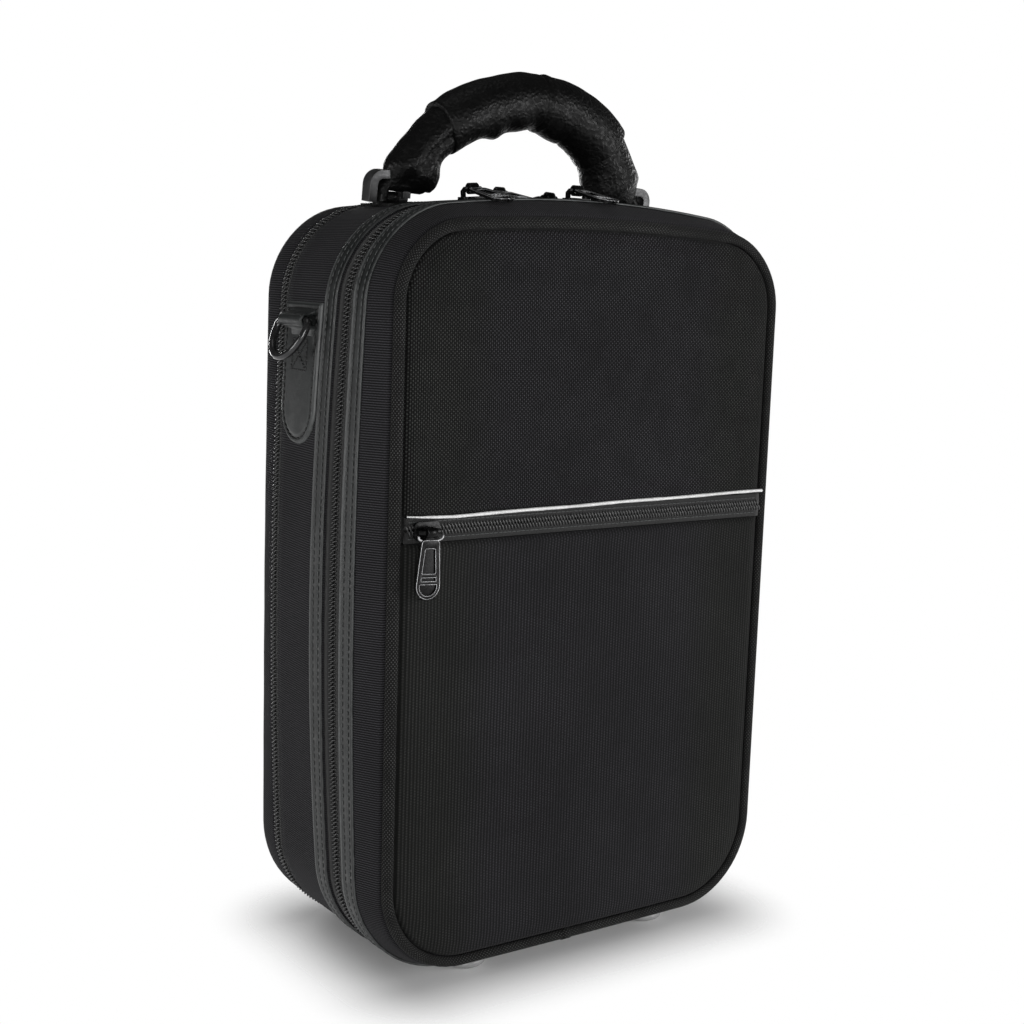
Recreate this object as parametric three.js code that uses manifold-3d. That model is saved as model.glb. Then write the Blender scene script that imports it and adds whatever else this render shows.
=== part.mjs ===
// Upright zip-round clarinet case with a front pocket, a back compartment and a padded handle.
// Millimetres. X runs across the case, Y from the front pocket to the back, Z up.
// The body is worked out about the middle of its front face, then stood on its feet.

import * as THREE from 'three';
import { mergeVertices } from 'three/addons/utils/BufferGeometryUtils.js';
import Module from 'manifold-3d';

const wasm = await Module();
wasm.setup();

// Fits and cuts
const fitGap = 0.3;
const patchGap = 0.6;
const boardGap = 0.45;
const cutOverrun = 3;

// Body outline at the front face
const frontHalfWidth = 110.5;
const frontHalfHeight = 170;
const topCornerRadius = 34;
const bottomCornerRadius = 43;
const frontTopCrown = 5.4;
const frontBottomCrown = 0.8;

// How the outline swells behind the front face
const bodyGrowth = 3;
const backGrowth = 3.6;
const lidSideBow = 6;
const partingSideBow = 8.3;
const shellSideBow = 9.5;
const rearZipSideBow = 6;
const bodyTopCrown = 10.5;
const bodyBottomCrown = 3.2;

// Depths behind the front face
const partingDepth = 32;
const rearPartingDepth = 93;
const bodyDepth = 119;
const backEdgeRound = 8;

// Walls and boards
const gussetThickness = 5;
const backWallThickness = 4;
const boardThickness = 3.5;
const dividerThickness = 3;
const backPanelThickness = 6.2;
const backPanelCrown = 2.5;
const backBoardClearance = 0.9;

// Front piping and the padded front
const pipingRadius = 2.4;
const pipingDepth = 0.4;
const panelCrown = 3.4;
const panelShoulderDrop = 1.8;
const panelRollWidth = 5.2;
const panelPlateauWidth = 12.7;
const panelBackDepth = 4;
const pocketSkinThickness = 2.5;
const pocketSeamWidth = 3.7;

// Vinyl trim bands beside the main zip
const trimWidth = 10;
const trimThickness = 1;

// Zips: each half is a tape with one row of coil along its edge
const zipHalfWidth = 7;
const rearZipHalfWidth = 4.6;
const coilWidth = 2.4;
const coilGap = 1.2;
const coilProud = 0.9;
const tapeInset = 0.6;
const tapeThickness = 1.2;

// Cloth strips that hinge the lid and the back cover along the bottom
const hingeHalfWidth = 58;
const hingeStripThickness = 1.2;

// Front pocket zip
const pocketZipHeight = 37.6;
const pocketZipHalfOpening = 6;
const pocketZipHalfLength = 104.8;
const pocketTapeDepth = 1.8;
const pocketCordRadius = 0.8;
const pocketSliderX = -95;

// Zip sliders and their pulls
const sliderLength = 13;
const sliderWidth = 8.2;
const sliderPlateThickness = 1.4;
const sliderLowerPlateThickness = 1;
const sliderPostLength = 4;
const bailLength = 12;
const bailThickness = 1.8;
const bailAxisHeight = 6.2;
const pullLength = 29.5;
const pullRootWidth = 8.4;
const pullTipWidth = 12;
const pullThickness = 1.8;
const pullBarrelRadius = 2.6;
const pullBarrelLength = 5;
const pullRecessDepth = 0.5;
const pullRimWidth = 1.5;
const pullWindowLength = 11;
const pullTipRecessLength = 5;
const pullBoreShare = 0.9;
const mainPullTilt = THREE.MathUtils.degToRad(12);
const rearPullTilt = THREE.MathUtils.degToRad(10.4);
const mainSliderXs = [-52, 7];
const rearSliderXs = [4, 35];

// Handle: a padded arch on two flat rings
const handleX = -2.5;
const handleLean = THREE.MathUtils.degToRad(6.5);
const handlePivotRise = 3.4;

// Padded handle, left foot to right foot: x, height above the pins, half width in its plane, half thickness across it
const handleRows = [
  [-62.6, 2.4, 10.8, 3.4],
  [-62.4, 5.6, 12.6, 6.6],
  [-60, 12.6, 14.2, 12],
  [-54.3, 23.8, 10.6, 12],
  [-41.8, 36, 11, 12.5],
  [-20.5, 45.6, 11.8, 12.5],
  [2.5, 50.1, 11.8, 12.5],
  [24, 46.6, 12.8, 12.5],
  [45, 35.6, 13.4, 12.5],
  [54, 23.6, 14.5, 13],
  [59, 12.6, 16.5, 13],
  [62.4, 5.6, 14, 6.8],
  [62.6, 2.4, 11, 3.4],
];
const gripThickness = 2.2;
const gripStartShare = 0.308;
const gripEndShare = 0.704;
const ringHalfWidth = 11;
const ringHeight = 14.5;
const ringBandThickness = 4;
const ringBandWidth = 7.4;
const ringPinRadius = 1.7;
const ringOuterDrop = 2.2;
const ringX = 72.5;
const ringCornerRadius = 7;
const ringFootShare = 0.25;
const tabWidth = 10.6;
const tabPlateLength = 30;
const tabRearMargin = 2.4;
const tabPlateWidth = 10.4;
const tabPlateThickness = 1.2;
const tabWall = 1;

// Side rings for a strap, on stitched tongues
const tongueWidth = 32;
const tongueLength = 64;
const tongueTop = 134;
const tongueThickness = 1.3;
const dRingDrop = 8;
const dRingWireRadius = 1.75;
const dRingWidth = 32;
const dRingHeight = 22;
const dRingLean = THREE.MathUtils.degToRad(25);
const dRingCornerRadius = 3;
const loopWidth = 22;
const loopWall = 1.1;
const loopStandoff = 1.6;

// Feet
const footRadius = 10.5;
const footDrop = 2.6;
const footX = 55;
const lidFootDepth = 17;
const shellFootDepth = 74;
const footDomeShare = 0.62;
const footShoulderShare = 0.5;

// Foam tray and its wells
const trayFrontDepth = 40;
const wellFloor = 2;
const lowerJointRadius = 24.5;
const lowerJointX = -79;
const lowerJointZ = [-138, 130];
const upperJointRadius = 21;
const upperJointX = -29;
const upperJointZ = [-122, 116];
const bellRimRadius = 36.5;
const bellNeckRadius = 19;
const bellX = 47;
const bellZ = [58, 160];
const barrelRadius = 17.5;
const barrelX = 26;
const barrelZ = [-38, 40];
const mouthpieceRadius = 18;
const mouthpieceX = 77;
const mouthpieceZ = [-62, 40];
const accessoryX = [8, 98];
const accessoryZ = [-146, -78];
const accessoryDepth = 34;

// Lid pad
const lidPadThickness = 7;
const lidPadCrown = 1.5;
const lidPadRoll = 6;
const lidPadPlateauWidth = 20;
const padShoulderShare = 0.4;

// Steps of the outline, counted once round
const cornerSteps = 7;
const sideSteps = 6;
const topSteps = 8;
const hingeSteps = 2;
const backRoundSteps = 3;
const tongueRoundSteps = 4;
const archSteps = 24;
const archSides = 16;
const gripSteps = 12;
const roundSides = 8;
const barrelSides = 16;
const patchSides = 4;
const wellSides = 20;
const plainSteps = 1;
const plateCornerSteps = 3;
const ringCornerSteps = 4;
const dRingCornerSteps = 3;
const dRingBowSteps = 12;
const quarterTurn = Math.PI / 2;
const sliderCornerShare = 0.25;
const straightRowShares = [0, 0.5, 1];

// Materials

const fabricBlack = { color: 0x252427, roughness: 0.95, metalness: 0 };
const vinylGrey = { color: 0x3c4142, roughness: 0.6, metalness: 0 };
const coilBlack = { color: 0x1c1c1e, roughness: 0.55, metalness: 0 };
const boardGrey = { color: 0x2c2c2e, roughness: 0.9, metalness: 0 };
const cordWhite = { color: 0xe6e6e4, roughness: 0.5, metalness: 0 };
const gunmetal = { color: 0x3a3a3c, roughness: 0.35, metalness: 0.8 };
const leatherBlack = { color: 0x232324, roughness: 0.6, metalness: 0 };
const plushGrey = { color: 0x3b3b42, roughness: 1, metalness: 0 };
const footGrey = { color: 0x4a4a4c, roughness: 0.4, metalness: 0 };

// Outline of the body

const stations = [
  { y: 0, growth: 0, sideBow: 0, topCrown: frontTopCrown, bottomCrown: frontBottomCrown },
  { y: partingDepth - zipHalfWidth - trimWidth, growth: bodyGrowth, sideBow: lidSideBow },
  { y: partingDepth, growth: bodyGrowth, sideBow: partingSideBow },
  { y: partingDepth + zipHalfWidth + trimWidth, growth: bodyGrowth, sideBow: shellSideBow },
  { y: rearPartingDepth, growth: backGrowth, sideBow: rearZipSideBow },
  { y: bodyDepth, growth: backGrowth, sideBow: 0 },
].map((station) => ({ topCrown: bodyTopCrown, bottomCrown: bodyBottomCrown, ...station }));

function stationAt(y) {
  const inside = THREE.MathUtils.clamp(y, 0, bodyDepth);
  const next = Math.max(1, stations.findIndex((station) => station.y >= inside));
  const before = stations[next - 1];
  const after = stations[next];
  const share = (inside - before.y) / (after.y - before.y);
  const mix = (key) => THREE.MathUtils.lerp(before[key], after[key], share);
  return {
    halfWidth: frontHalfWidth + mix('growth'),
    halfHeight: frontHalfHeight + mix('growth'),
    topRadius: topCornerRadius + mix('growth'),
    bottomRadius: bottomCornerRadius + mix('growth'),
    sideBow: mix('sideBow'),
    topCrown: mix('topCrown'),
    bottomCrown: mix('bottomCrown'),
  };
}

// Moves a point of the plain rounded rectangle outwards by the bow of its side
function bow(x, z, halfWidth, halfHeight, station) {
  const acrossShare = 1 - (x / halfWidth) ** 2;
  const upShare = 1 - (z / halfHeight) ** 2;
  const sideReach = Math.min(1, Math.abs(x) / (halfWidth - station.bottomRadius));
  const endReach = Math.min(1, Math.abs(z) / (halfHeight - station.bottomRadius));
  const crown = z > 0 ? station.topCrown : station.bottomCrown;
  return [
    x + Math.sign(x) * station.sideBow * upShare * sideReach,
    z + Math.sign(z) * crown * acrossShare * endReach,
  ];
}

// Half of the outline, from the bottom middle up the left side to the top middle
function halfOutline(halfWidth, halfHeight, station, inset) {
  const lowRadius = station.bottomRadius - inset;
  const highRadius = station.topRadius - inset;
  const low = { x: halfWidth - lowRadius, z: halfHeight - lowRadius };
  const high = { x: halfWidth - highRadius, z: halfHeight - highRadius };
  const points = [];
  for (let i = 0; i < hingeSteps; i += 1) {
    points.push([-hingeHalfWidth * (i / hingeSteps), -halfHeight]);
  }
  points.push([-hingeHalfWidth, -halfHeight]);
  for (let i = 0; i <= cornerSteps; i += 1) {
    const angle = (quarterTurn) * (i / cornerSteps);
    points.push([-low.x - lowRadius * Math.sin(angle), -low.z - lowRadius * Math.cos(angle)]);
  }
  for (let i = 1; i < sideSteps; i += 1) {
    points.push([-halfWidth, THREE.MathUtils.lerp(-low.z, high.z, i / sideSteps)]);
  }
  for (let i = 0; i <= cornerSteps; i += 1) {
    const angle = (quarterTurn) * (i / cornerSteps);
    points.push([-high.x - highRadius * Math.cos(angle), high.z + highRadius * Math.sin(angle)]);
  }
  for (let i = 1; i <= topSteps / 2; i += 1) {
    points.push([-high.x * (1 - i / (topSteps / 2)), halfHeight]);
  }
  return points;
}

// The whole outline at one depth, clockwise from the bottom middle as seen from the front
function outlineAt(y, inset) {
  const station = stationAt(y);
  const halfWidth = station.halfWidth - inset;
  const halfHeight = station.halfHeight - inset;
  const left = halfOutline(halfWidth, halfHeight, station, inset);
  const right = left.slice(1, -1).reverse().map(([x, z]) => [-x, z]);
  return [...left, ...right].map(([x, z]) => {
    const [bowedX, bowedZ] = bow(x, z, halfWidth, halfHeight, station);
    return new THREE.Vector3(bowedX, y, bowedZ);
  });
}

const outlineCount = outlineAt(0, 0).length;

function topSurface(x, y) {
  const station = stationAt(y);
  return station.halfHeight + station.topCrown * (1 - (x / station.halfWidth) ** 2);
}

function bottomSurface(x, y) {
  const station = stationAt(y);
  return -station.halfHeight - station.bottomCrown * (1 - (x / station.halfWidth) ** 2);
}

function sideSurface(y, z) {
  const station = stationAt(y);
  return station.halfWidth + station.sideBow * (1 - (z / station.halfHeight) ** 2);
}

// Solids from points and faces

function solidFrom(positions, faces) {
  const geometry = new THREE.BufferGeometry();
  geometry.setAttribute('position', new THREE.Float32BufferAttribute(positions.flatMap((p) => [p.x, p.y, p.z]), 3));
  geometry.setIndex(faces.flat());
  return signedVolume(geometry) < 0 ? turnedInsideOut(geometry) : geometry;
}

function signedVolume(geometry) {
  const position = geometry.getAttribute('position');
  const index = geometry.getIndex();
  const [a, b, c] = [new THREE.Vector3(), new THREE.Vector3(), new THREE.Vector3()];
  let volume = 0;
  for (let i = 0; i < index.count; i += 3) {
    a.fromBufferAttribute(position, index.getX(i));
    b.fromBufferAttribute(position, index.getX(i + 1));
    c.fromBufferAttribute(position, index.getX(i + 2));
    volume += a.dot(b.cross(c));
  }
  return volume;
}

function turnedInsideOut(geometry) {
  const index = Array.from(geometry.getIndex().array);
  for (let i = 0; i < index.length; i += 3) {
    [index[i], index[i + 1]] = [index[i + 1], index[i]];
  }
  geometry.setIndex(index);
  return geometry;
}

function joinLoops(first, second, count, closed) {
  const faces = [];
  const last = closed ? count : count - 1;
  for (let i = 0; i < last; i += 1) {
    const next = (i + 1) % count;
    faces.push([first + i, first + next, second + i], [first + next, second + next, second + i]);
  }
  return faces;
}

// A closed section, given as [depth, inset] pairs, carried once round the outline
function ringSolid(profile) {
  const loops = profile.map(([y, inset]) => outlineAt(y, inset));
  const faces = loops.flatMap((_, i) => {
    const next = (i + 1) % loops.length;
    return joinLoops(i * outlineCount, next * outlineCount, outlineCount, true);
  });
  return solidFrom(loops.flat(), faces);
}

// The same section carried round part of the outline, between two of its points
function partRingSolid(profile, from, to) {
  const count = to - from + 1;
  const along = (loop) => Array.from({ length: count }, (_, i) => loop[(from + i) % outlineCount]);
  const runs = profile.map(([y, inset]) => along(outlineAt(y, inset)));
  const faces = runs.flatMap((_, i) => {
    const next = (i + 1) % runs.length;
    return joinLoops(i * count, next * count, count, false);
  });
  const section = profile.map(([y, inset]) => new THREE.Vector2(y, inset));
  const sectionArea = THREE.ShapeUtils.area(section);
  const last = count - 1;
  for (const triangle of THREE.ShapeUtils.triangulateShape(section, [])) {
    const sameWay = THREE.ShapeUtils.area(triangle.map((corner) => section[corner])) * sectionArea > 0;
    const [a, b, c] = (sameWay ? triangle : [...triangle].reverse()).map((corner) => corner * count);
    faces.push([a, b, c], [a + last, c + last, b + last]);
  }
  return solidFrom(runs.flat(), faces);
}

// Outline loops stacked from back to front and closed across both ends
function stackSolid(profile) {
  const loops = profile.map(([y, inset]) => outlineAt(y, inset));
  const faces = loops.slice(1).flatMap((_, i) => joinLoops(i * outlineCount, (i + 1) * outlineCount, outlineCount, true));
  const positions = loops.flat();
  const firstMiddle = positions.push(new THREE.Vector3(0, profile[0][0], 0)) - 1;
  const lastMiddle = positions.push(new THREE.Vector3(0, profile.at(-1)[0], 0)) - 1;
  const lastLoop = (loops.length - 1) * outlineCount;
  for (let i = 0; i < outlineCount; i += 1) {
    const next = (i + 1) % outlineCount;
    faces.push([firstMiddle, next, i], [lastMiddle, lastLoop + i, lastLoop + next]);
  }
  return solidFrom(positions, faces);
}

// An oval section carried along a curve in the XZ plane; sizeAt gives its half sizes by share of the curve
function archSolid(curve, steps, sides, sizeAt, startShare = 0, endShare = 1) {
  const positions = [];
  for (let i = 0; i <= steps; i += 1) {
    const share = THREE.MathUtils.lerp(startShare, endShare, i / steps);
    const centre = curve.getPoint(share);
    const tangent = curve.getTangent(share);
    const across = new THREE.Vector3(-tangent.z, 0, tangent.x);
    const size = sizeAt(share);
    for (let k = 0; k < sides; k += 1) {
      const angle = (2 * Math.PI * k) / sides;
      const point = centre.clone().addScaledVector(across, size.inPlane * Math.cos(angle));
      point.y += size.outOfPlane * Math.sin(angle);
      positions.push(point);
    }
  }
  const faces = [];
  for (let i = 0; i < steps; i += 1) {
    faces.push(...joinLoops(i * sides, (i + 1) * sides, sides, true));
  }
  for (let k = 1; k < sides - 1; k += 1) {
    faces.push([0, k + 1, k], [steps * sides, steps * sides + k, steps * sides + k + 1]);
  }
  return solidFrom(positions, faces);
}

// A round wire carried round a closed loop of points in the YZ plane
function wireLoop(points, radius, sides) {
  const positions = points.flatMap((point, i) => {
    const before = points[(i + points.length - 1) % points.length];
    const after = points[(i + 1) % points.length];
    const tangent = after.clone().sub(before).normalize();
    const across = new THREE.Vector3(0, -tangent.z, tangent.y);
    return Array.from({ length: sides }, (_, k) => {
      const angle = (2 * Math.PI * k) / sides;
      const place = point.clone().addScaledVector(across, radius * Math.cos(angle));
      place.x += radius * Math.sin(angle);
      return place;
    });
  });
  const faces = points.flatMap((_, i) => joinLoops(i * sides, ((i + 1) % points.length) * sides, sides, true));
  return solidFrom(positions, faces);
}

// Joins and cuts

function toSolid(geometry) {
  const bare = geometry.clone();
  bare.deleteAttribute('normal');
  bare.deleteAttribute('uv');
  const merged = mergeVertices(bare);
  return new wasm.Manifold(new wasm.Mesh({
    numProp: 3,
    vertProperties: merged.getAttribute('position').array,
    triVerts: new Uint32Array(merged.getIndex().array),
  }));
}

function toGeometry(solid) {
  const mesh = solid.getMesh();
  const geometry = new THREE.BufferGeometry();
  geometry.setAttribute('position', new THREE.BufferAttribute(mesh.vertProperties, 3));
  geometry.setIndex(new THREE.BufferAttribute(mesh.triVerts, 1));
  return geometry;
}

function joined(geometries) {
  return toGeometry(geometries.map(toSolid).reduce((all, solid) => all.add(solid)));
}

function cut(geometry, cutters) {
  return toGeometry(cutters.map(toSolid).reduce((all, solid) => all.subtract(solid), toSolid(geometry)));
}

function kept(geometry, region) {
  return toGeometry(toSolid(geometry).intersect(toSolid(region)));
}

// A box between two corners
function boxBetween(low, high) {
  const size = high.map((value, i) => value - low[i]);
  const geometry = new THREE.BoxGeometry(...size);
  return geometry.translate(...high.map((value, i) => (value + low[i]) / 2));
}

function cylinderAlong(axis, radius, length, sides) {
  const geometry = new THREE.CylinderGeometry(radius, radius, length, sides);
  if (axis === 'x') geometry.rotateZ(quarterTurn);
  if (axis === 'z') geometry.rotateX(quarterTurn);
  return geometry;
}

function roundedRectangle(halfWidth, halfHeight, radius) {
  const shape = new THREE.Shape();
  shape.moveTo(halfWidth - radius, -halfHeight);
  shape.absarc(halfWidth - radius, radius - halfHeight, radius, -quarterTurn, 0);
  shape.absarc(halfWidth - radius, halfHeight - radius, radius, 0, quarterTurn);
  shape.absarc(radius - halfWidth, halfHeight - radius, radius, quarterTurn, Math.PI);
  shape.absarc(radius - halfWidth, radius - halfHeight, radius, Math.PI, 1.5 * Math.PI);
  shape.closePath();
  return shape;
}

function extruded(shape, depth, curveSegments) {
  return new THREE.ExtrudeGeometry(shape, { depth, bevelEnabled: false, curveSegments });
}

function meshOf(name, geometry, material) {
  const mesh = new THREE.Mesh(geometry, new THREE.MeshStandardMaterial(material));
  mesh.name = name;
  return mesh;
}

// Section points between two depths, with a point at each station on the way
function run(fromY, toY, inset) {
  const between = stations.map((station) => station.y).filter((y) => y > Math.min(fromY, toY) && y < Math.max(fromY, toY));
  const inOrder = fromY < toY ? between : between.reverse();
  return [fromY, ...inOrder, toY].map((y) => [y, inset]);
}

function wallProfile(fromY, toY, thickness) {
  return [...run(fromY, toY, 0), ...run(toY, fromY, thickness)];
}

// Lid: side wall, front board, padded front and pocket

const lidEdge = partingDepth - zipHalfWidth;
const shellEdge = partingDepth + zipHalfWidth;
const shellRearEdge = rearPartingDepth - rearZipHalfWidth;
const coverEdge = rearPartingDepth + rearZipHalfWidth;
const tongueDepth = (shellEdge + trimWidth + shellRearEdge) / 2;
const handleDepth = shellRearEdge - tabRearMargin - tabPlateLength / 2;
const gussetFront = pipingDepth + pipingRadius + fitGap;
const boardInset = gussetThickness + boardGap;
const boardFront = panelBackDepth + fitGap;
const boardBack = boardFront + boardThickness;

function makeLidGusset() {
  return meshOf('lid_gusset', ringSolid(wallProfile(gussetFront, lidEdge - fitGap, gussetThickness)), fabricBlack);
}

function makeLidBoard() {
  return meshOf('lid_front_board', stackSolid([[boardBack, boardInset], [boardFront, boardInset]]), boardGrey);
}

function makeFrontPiping() {
  const section = Array.from({ length: roundSides }, (_, i) => {
    const angle = (2 * Math.PI * (i + 1 / 2)) / roundSides;
    return [pipingDepth + pipingRadius * Math.cos(angle), pipingRadius + pipingRadius * Math.sin(angle)];
  });
  return meshOf('front_piping', ringSolid(section), fabricBlack);
}

// The padded front as one crowned block, before the pocket zip divides it
function crownedFront() {
  return stackSolid([
    [panelBackDepth, boardInset],
    [0, boardInset],
    [-panelShoulderDrop, boardInset + panelShoulderDrop],
    [panelShoulderDrop / 2 - panelCrown, boardInset + panelRollWidth],
    [-panelCrown, boardInset + panelPlateauWidth],
  ]);
}

const panelReach = frontHalfHeight + bodyTopCrown + cutOverrun;

function makeUpperPanel() {
  const above = boxBetween(
    [-panelReach, -panelCrown - cutOverrun, pocketZipHeight + pocketZipHalfOpening + fitGap],
    [panelReach, panelBackDepth + cutOverrun, panelReach],
  );
  return meshOf('front_upper_panel', kept(crownedFront(), above), fabricBlack);
}

function makePocketPanel() {
  const below = boxBetween(
    [-panelReach, -panelCrown - cutOverrun, -panelReach],
    [panelReach, panelBackDepth + cutOverrun, pocketZipHeight - pocketZipHalfOpening - fitGap],
  );
  const hollow = stackSolid([
    [panelBackDepth + cutOverrun, boardInset + pocketSeamWidth],
    [pocketSkinThickness - panelCrown, boardInset + pocketSeamWidth],
  ]);
  return meshOf('front_pocket_panel', cut(kept(crownedFront(), below), [hollow]), fabricBlack);
}

function trimProfile(fromY, toY) {
  const face = -fitGap - trimThickness;
  return [...run(fromY, toY, face), ...run(toY, fromY, -fitGap)];
}

function makeLidTrim() {
  return meshOf('lid_trim', ringSolid(trimProfile(lidEdge - trimWidth, lidEdge)), vinylGrey);
}

function makeShellTrim() {
  return meshOf('shell_trim', ringSolid(trimProfile(shellEdge, shellEdge + trimWidth)), vinylGrey);
}

// Zips round the body: a tape and its row of coil make one stringer

function stringerProfile(parting, halfWidth, side) {
  const at = (distance) => parting + side * distance;
  const coilEdge = coilGap / 2 + coilWidth;
  return [
    [at(coilGap / 2), tapeInset + tapeThickness],
    [at(coilGap / 2), -coilProud],
    [at(coilEdge), -coilProud],
    [at(coilEdge), tapeInset],
    [at(halfWidth - fitGap), tapeInset],
    [at(halfWidth - fitGap), tapeInset + tapeThickness],
  ];
}

function makeStringer(name, parting, halfWidth, side) {
  const geometry = partRingSolid(stringerProfile(parting, halfWidth, side), hingeSteps, outlineCount - hingeSteps);
  return meshOf(name, geometry, coilBlack);
}

// A hinge strip fills the stretch of the bottom that the zip leaves free
function makeHingeStrip(name, fromY, toY) {
  const section = [
    [fromY + fitGap, 0],
    [toY - fitGap, 0],
    [toY - fitGap, hingeStripThickness],
    [fromY + fitGap, hingeStripThickness],
  ];
  const whole = partRingSolid(section, outlineCount - hingeSteps, outlineCount + hingeSteps);
  const reach = hingeHalfWidth - fitGap;
  const inside = boxBetween([-reach, fromY, -panelReach], [reach, toY, 0]);
  return meshOf(name, kept(whole, inside), fabricBlack);
}

// Front pocket zip: two straight stringers, a cord along the top edge and the slider

function makePocketStringer(name, side) {
  const coilEdge = coilGap / 2 + coilWidth;
  const tapeFront = pocketTapeDepth - tapeThickness;
  const section = [
    [coilGap / 2, tapeFront],
    [pocketZipHalfOpening - fitGap, tapeFront],
    [pocketZipHalfOpening - fitGap, pocketTapeDepth],
    [coilEdge, pocketTapeDepth],
    [coilEdge, pocketTapeDepth + tapeThickness],
    [coilGap / 2, pocketTapeDepth + tapeThickness],
  ];
  const shape = new THREE.Shape(section.map(([distance, depth]) => new THREE.Vector2(side * distance, depth)));
  const geometry = extruded(shape, 2 * pocketZipHalfLength, plainSteps).translate(0, 0, -pocketZipHalfLength);
  const mesh = meshOf(name, geometry.rotateY(quarterTurn).rotateX(Math.PI), coilBlack);
  mesh.position.z = pocketZipHeight;
  return mesh;
}

function makePocketCord() {
  const geometry = cylinderAlong('x', pocketCordRadius, 2 * pocketZipHalfLength, roundSides);
  const mesh = meshOf('pocket_cord', geometry, cordWhite);
  mesh.position.set(0, -panelCrown, pocketZipHeight + pocketZipHalfOpening - pocketCordRadius);
  return mesh;
}

// Feet: low domes cut to the shape of the bottom

const floorLevel = bottomSurface(0, partingDepth) - footDrop;

function bodyBlock(fromY, toY, inset) {
  return stackSolid(run(toY, fromY, inset));
}

function makeFoot(name, x, y, above) {
  const flat = footRadius * footDomeShare;
  const height = footDrop + footRadius;
  const profile = [
    [0, 0],
    [flat, 0],
    [(flat + footRadius) / 2, footDrop * footShoulderShare / 2],
    [footRadius, footDrop * footShoulderShare],
    [footRadius, height],
    [0, height],
  ];
  const dome = new THREE.LatheGeometry(profile.map((point) => new THREE.Vector2(...point)), wellSides);
  dome.rotateX(quarterTurn).translate(x, y, floorLevel);
  return meshOf(name, cut(dome, above), footGrey);
}

function makeLidFeet() {
  const trimFace = -fitGap - trimThickness - fitGap;
  const above = [
    bodyBlock(gussetFront, shellEdge, -fitGap),
    bodyBlock(lidEdge - trimWidth - fitGap, lidEdge, trimFace),
  ];
  return [-1, 1].map((side) => makeFoot(side < 0 ? 'lid_foot_left' : 'lid_foot_right', side * footX, lidFootDepth, above));
}

function makeShellFeet() {
  const above = [bodyBlock(shellEdge, shellRearEdge, -fitGap)];
  const names = ['shell_foot_left', 'shell_foot_right'];
  return [-1, 1].map((side, i) => makeFoot(names[i], side * footX, shellFootDepth, above));
}

// Pad that lines the inside of the lid

const dividerBack = shellRearEdge - fitGap;
const dividerFront = dividerBack - dividerThickness;
const trayBack = dividerFront - fitGap;
const liningInset = gussetThickness + patchGap;
const lidPadBack = boardBack + fitGap;

function makeLidPad() {
  const face = lidPadBack + lidPadThickness;
  const pad = stackSolid([
    [lidPadBack, liningInset],
    [face - lidPadRoll * padShoulderShare, liningInset],
    [face, liningInset + lidPadRoll],
    [face + lidPadCrown, liningInset + lidPadRoll + lidPadPlateauWidth],
  ]);
  return meshOf('lid_pad', cut(pad, [bellCutter()]), plushGrey);
}

// Shell: side wall, divider and the tray with a well for each piece of the instrument

function makeShellGusset() {
  const profile = wallProfile(shellEdge + fitGap, dividerBack, gussetThickness);
  return meshOf('shell_gusset', ringSolid(profile), fabricBlack);
}

function makeDivider() {
  return meshOf('divider_board', stackSolid([[dividerBack, boardInset], [dividerFront, boardInset]]), boardGrey);
}

function wellCutters(radius, x, [lowZ, highZ]) {
  const depth = trayBack - wellFloor - radius;
  const round = cylinderAlong('z', radius, highZ - lowZ, wellSides);
  round.rotateZ(Math.PI / wellSides).translate(x, depth, (lowZ + highZ) / 2);
  const halfMouth = radius * Math.cos(Math.PI / wellSides);
  const mouth = boxBetween([x - halfMouth, trayFrontDepth - cutOverrun, lowZ], [x + halfMouth, depth, highZ]);
  return [joined([round, mouth])];
}

function bellCutter() {
  const [lowZ, highZ] = bellZ;
  const depth = trayBack - wellFloor - bellRimRadius;
  const cone = new THREE.CylinderGeometry(bellRimRadius, bellNeckRadius, highZ - lowZ, wellSides);
  cone.rotateX(quarterTurn).rotateZ(Math.PI / wellSides);
  return cone.translate(bellX, depth, (lowZ + highZ) / 2);
}

function accessoryCutter() {
  return boxBetween(
    [accessoryX[0], trayFrontDepth - cutOverrun, accessoryZ[0]],
    [accessoryX[1], trayFrontDepth + accessoryDepth, accessoryZ[1]],
  );
}

function makeTray() {
  const block = stackSolid(run(trayBack, trayFrontDepth, liningInset));
  const cutters = [
    ...wellCutters(lowerJointRadius, lowerJointX, lowerJointZ),
    ...wellCutters(upperJointRadius, upperJointX, upperJointZ),
    ...wellCutters(barrelRadius, barrelX, barrelZ),
    ...wellCutters(mouthpieceRadius, mouthpieceX, mouthpieceZ),
    bellCutter(),
    accessoryCutter(),
  ];
  return meshOf('instrument_tray', cut(block, cutters), plushGrey);
}

// Back cover: rounded band, board and padded panel

function makeBackBand() {
  const edgeDepth = bodyDepth - backEdgeRound;
  const arc = (radius) => Array.from({ length: backRoundSteps + 1 }, (_, i) => {
    const angle = (quarterTurn) * (i / backRoundSteps);
    return [edgeDepth + radius * Math.sin(angle), backEdgeRound - radius * Math.cos(angle)];
  });
  const profile = [
    [coverEdge + fitGap, 0],
    ...arc(backEdgeRound),
    ...arc(backEdgeRound - backWallThickness).reverse(),
    [coverEdge + fitGap, backWallThickness],
  ];
  return meshOf('back_band', ringSolid(profile), fabricBlack);
}

const backPanelFront = bodyDepth - backPanelThickness;
const backBoardBack = backPanelFront - fitGap;

function makeBackBoard() {
  const inset = backWallThickness + backBoardClearance;
  const geometry = stackSolid([[backBoardBack, inset], [backBoardBack - boardThickness, inset]]);
  return meshOf('back_board', geometry, boardGrey);
}

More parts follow.
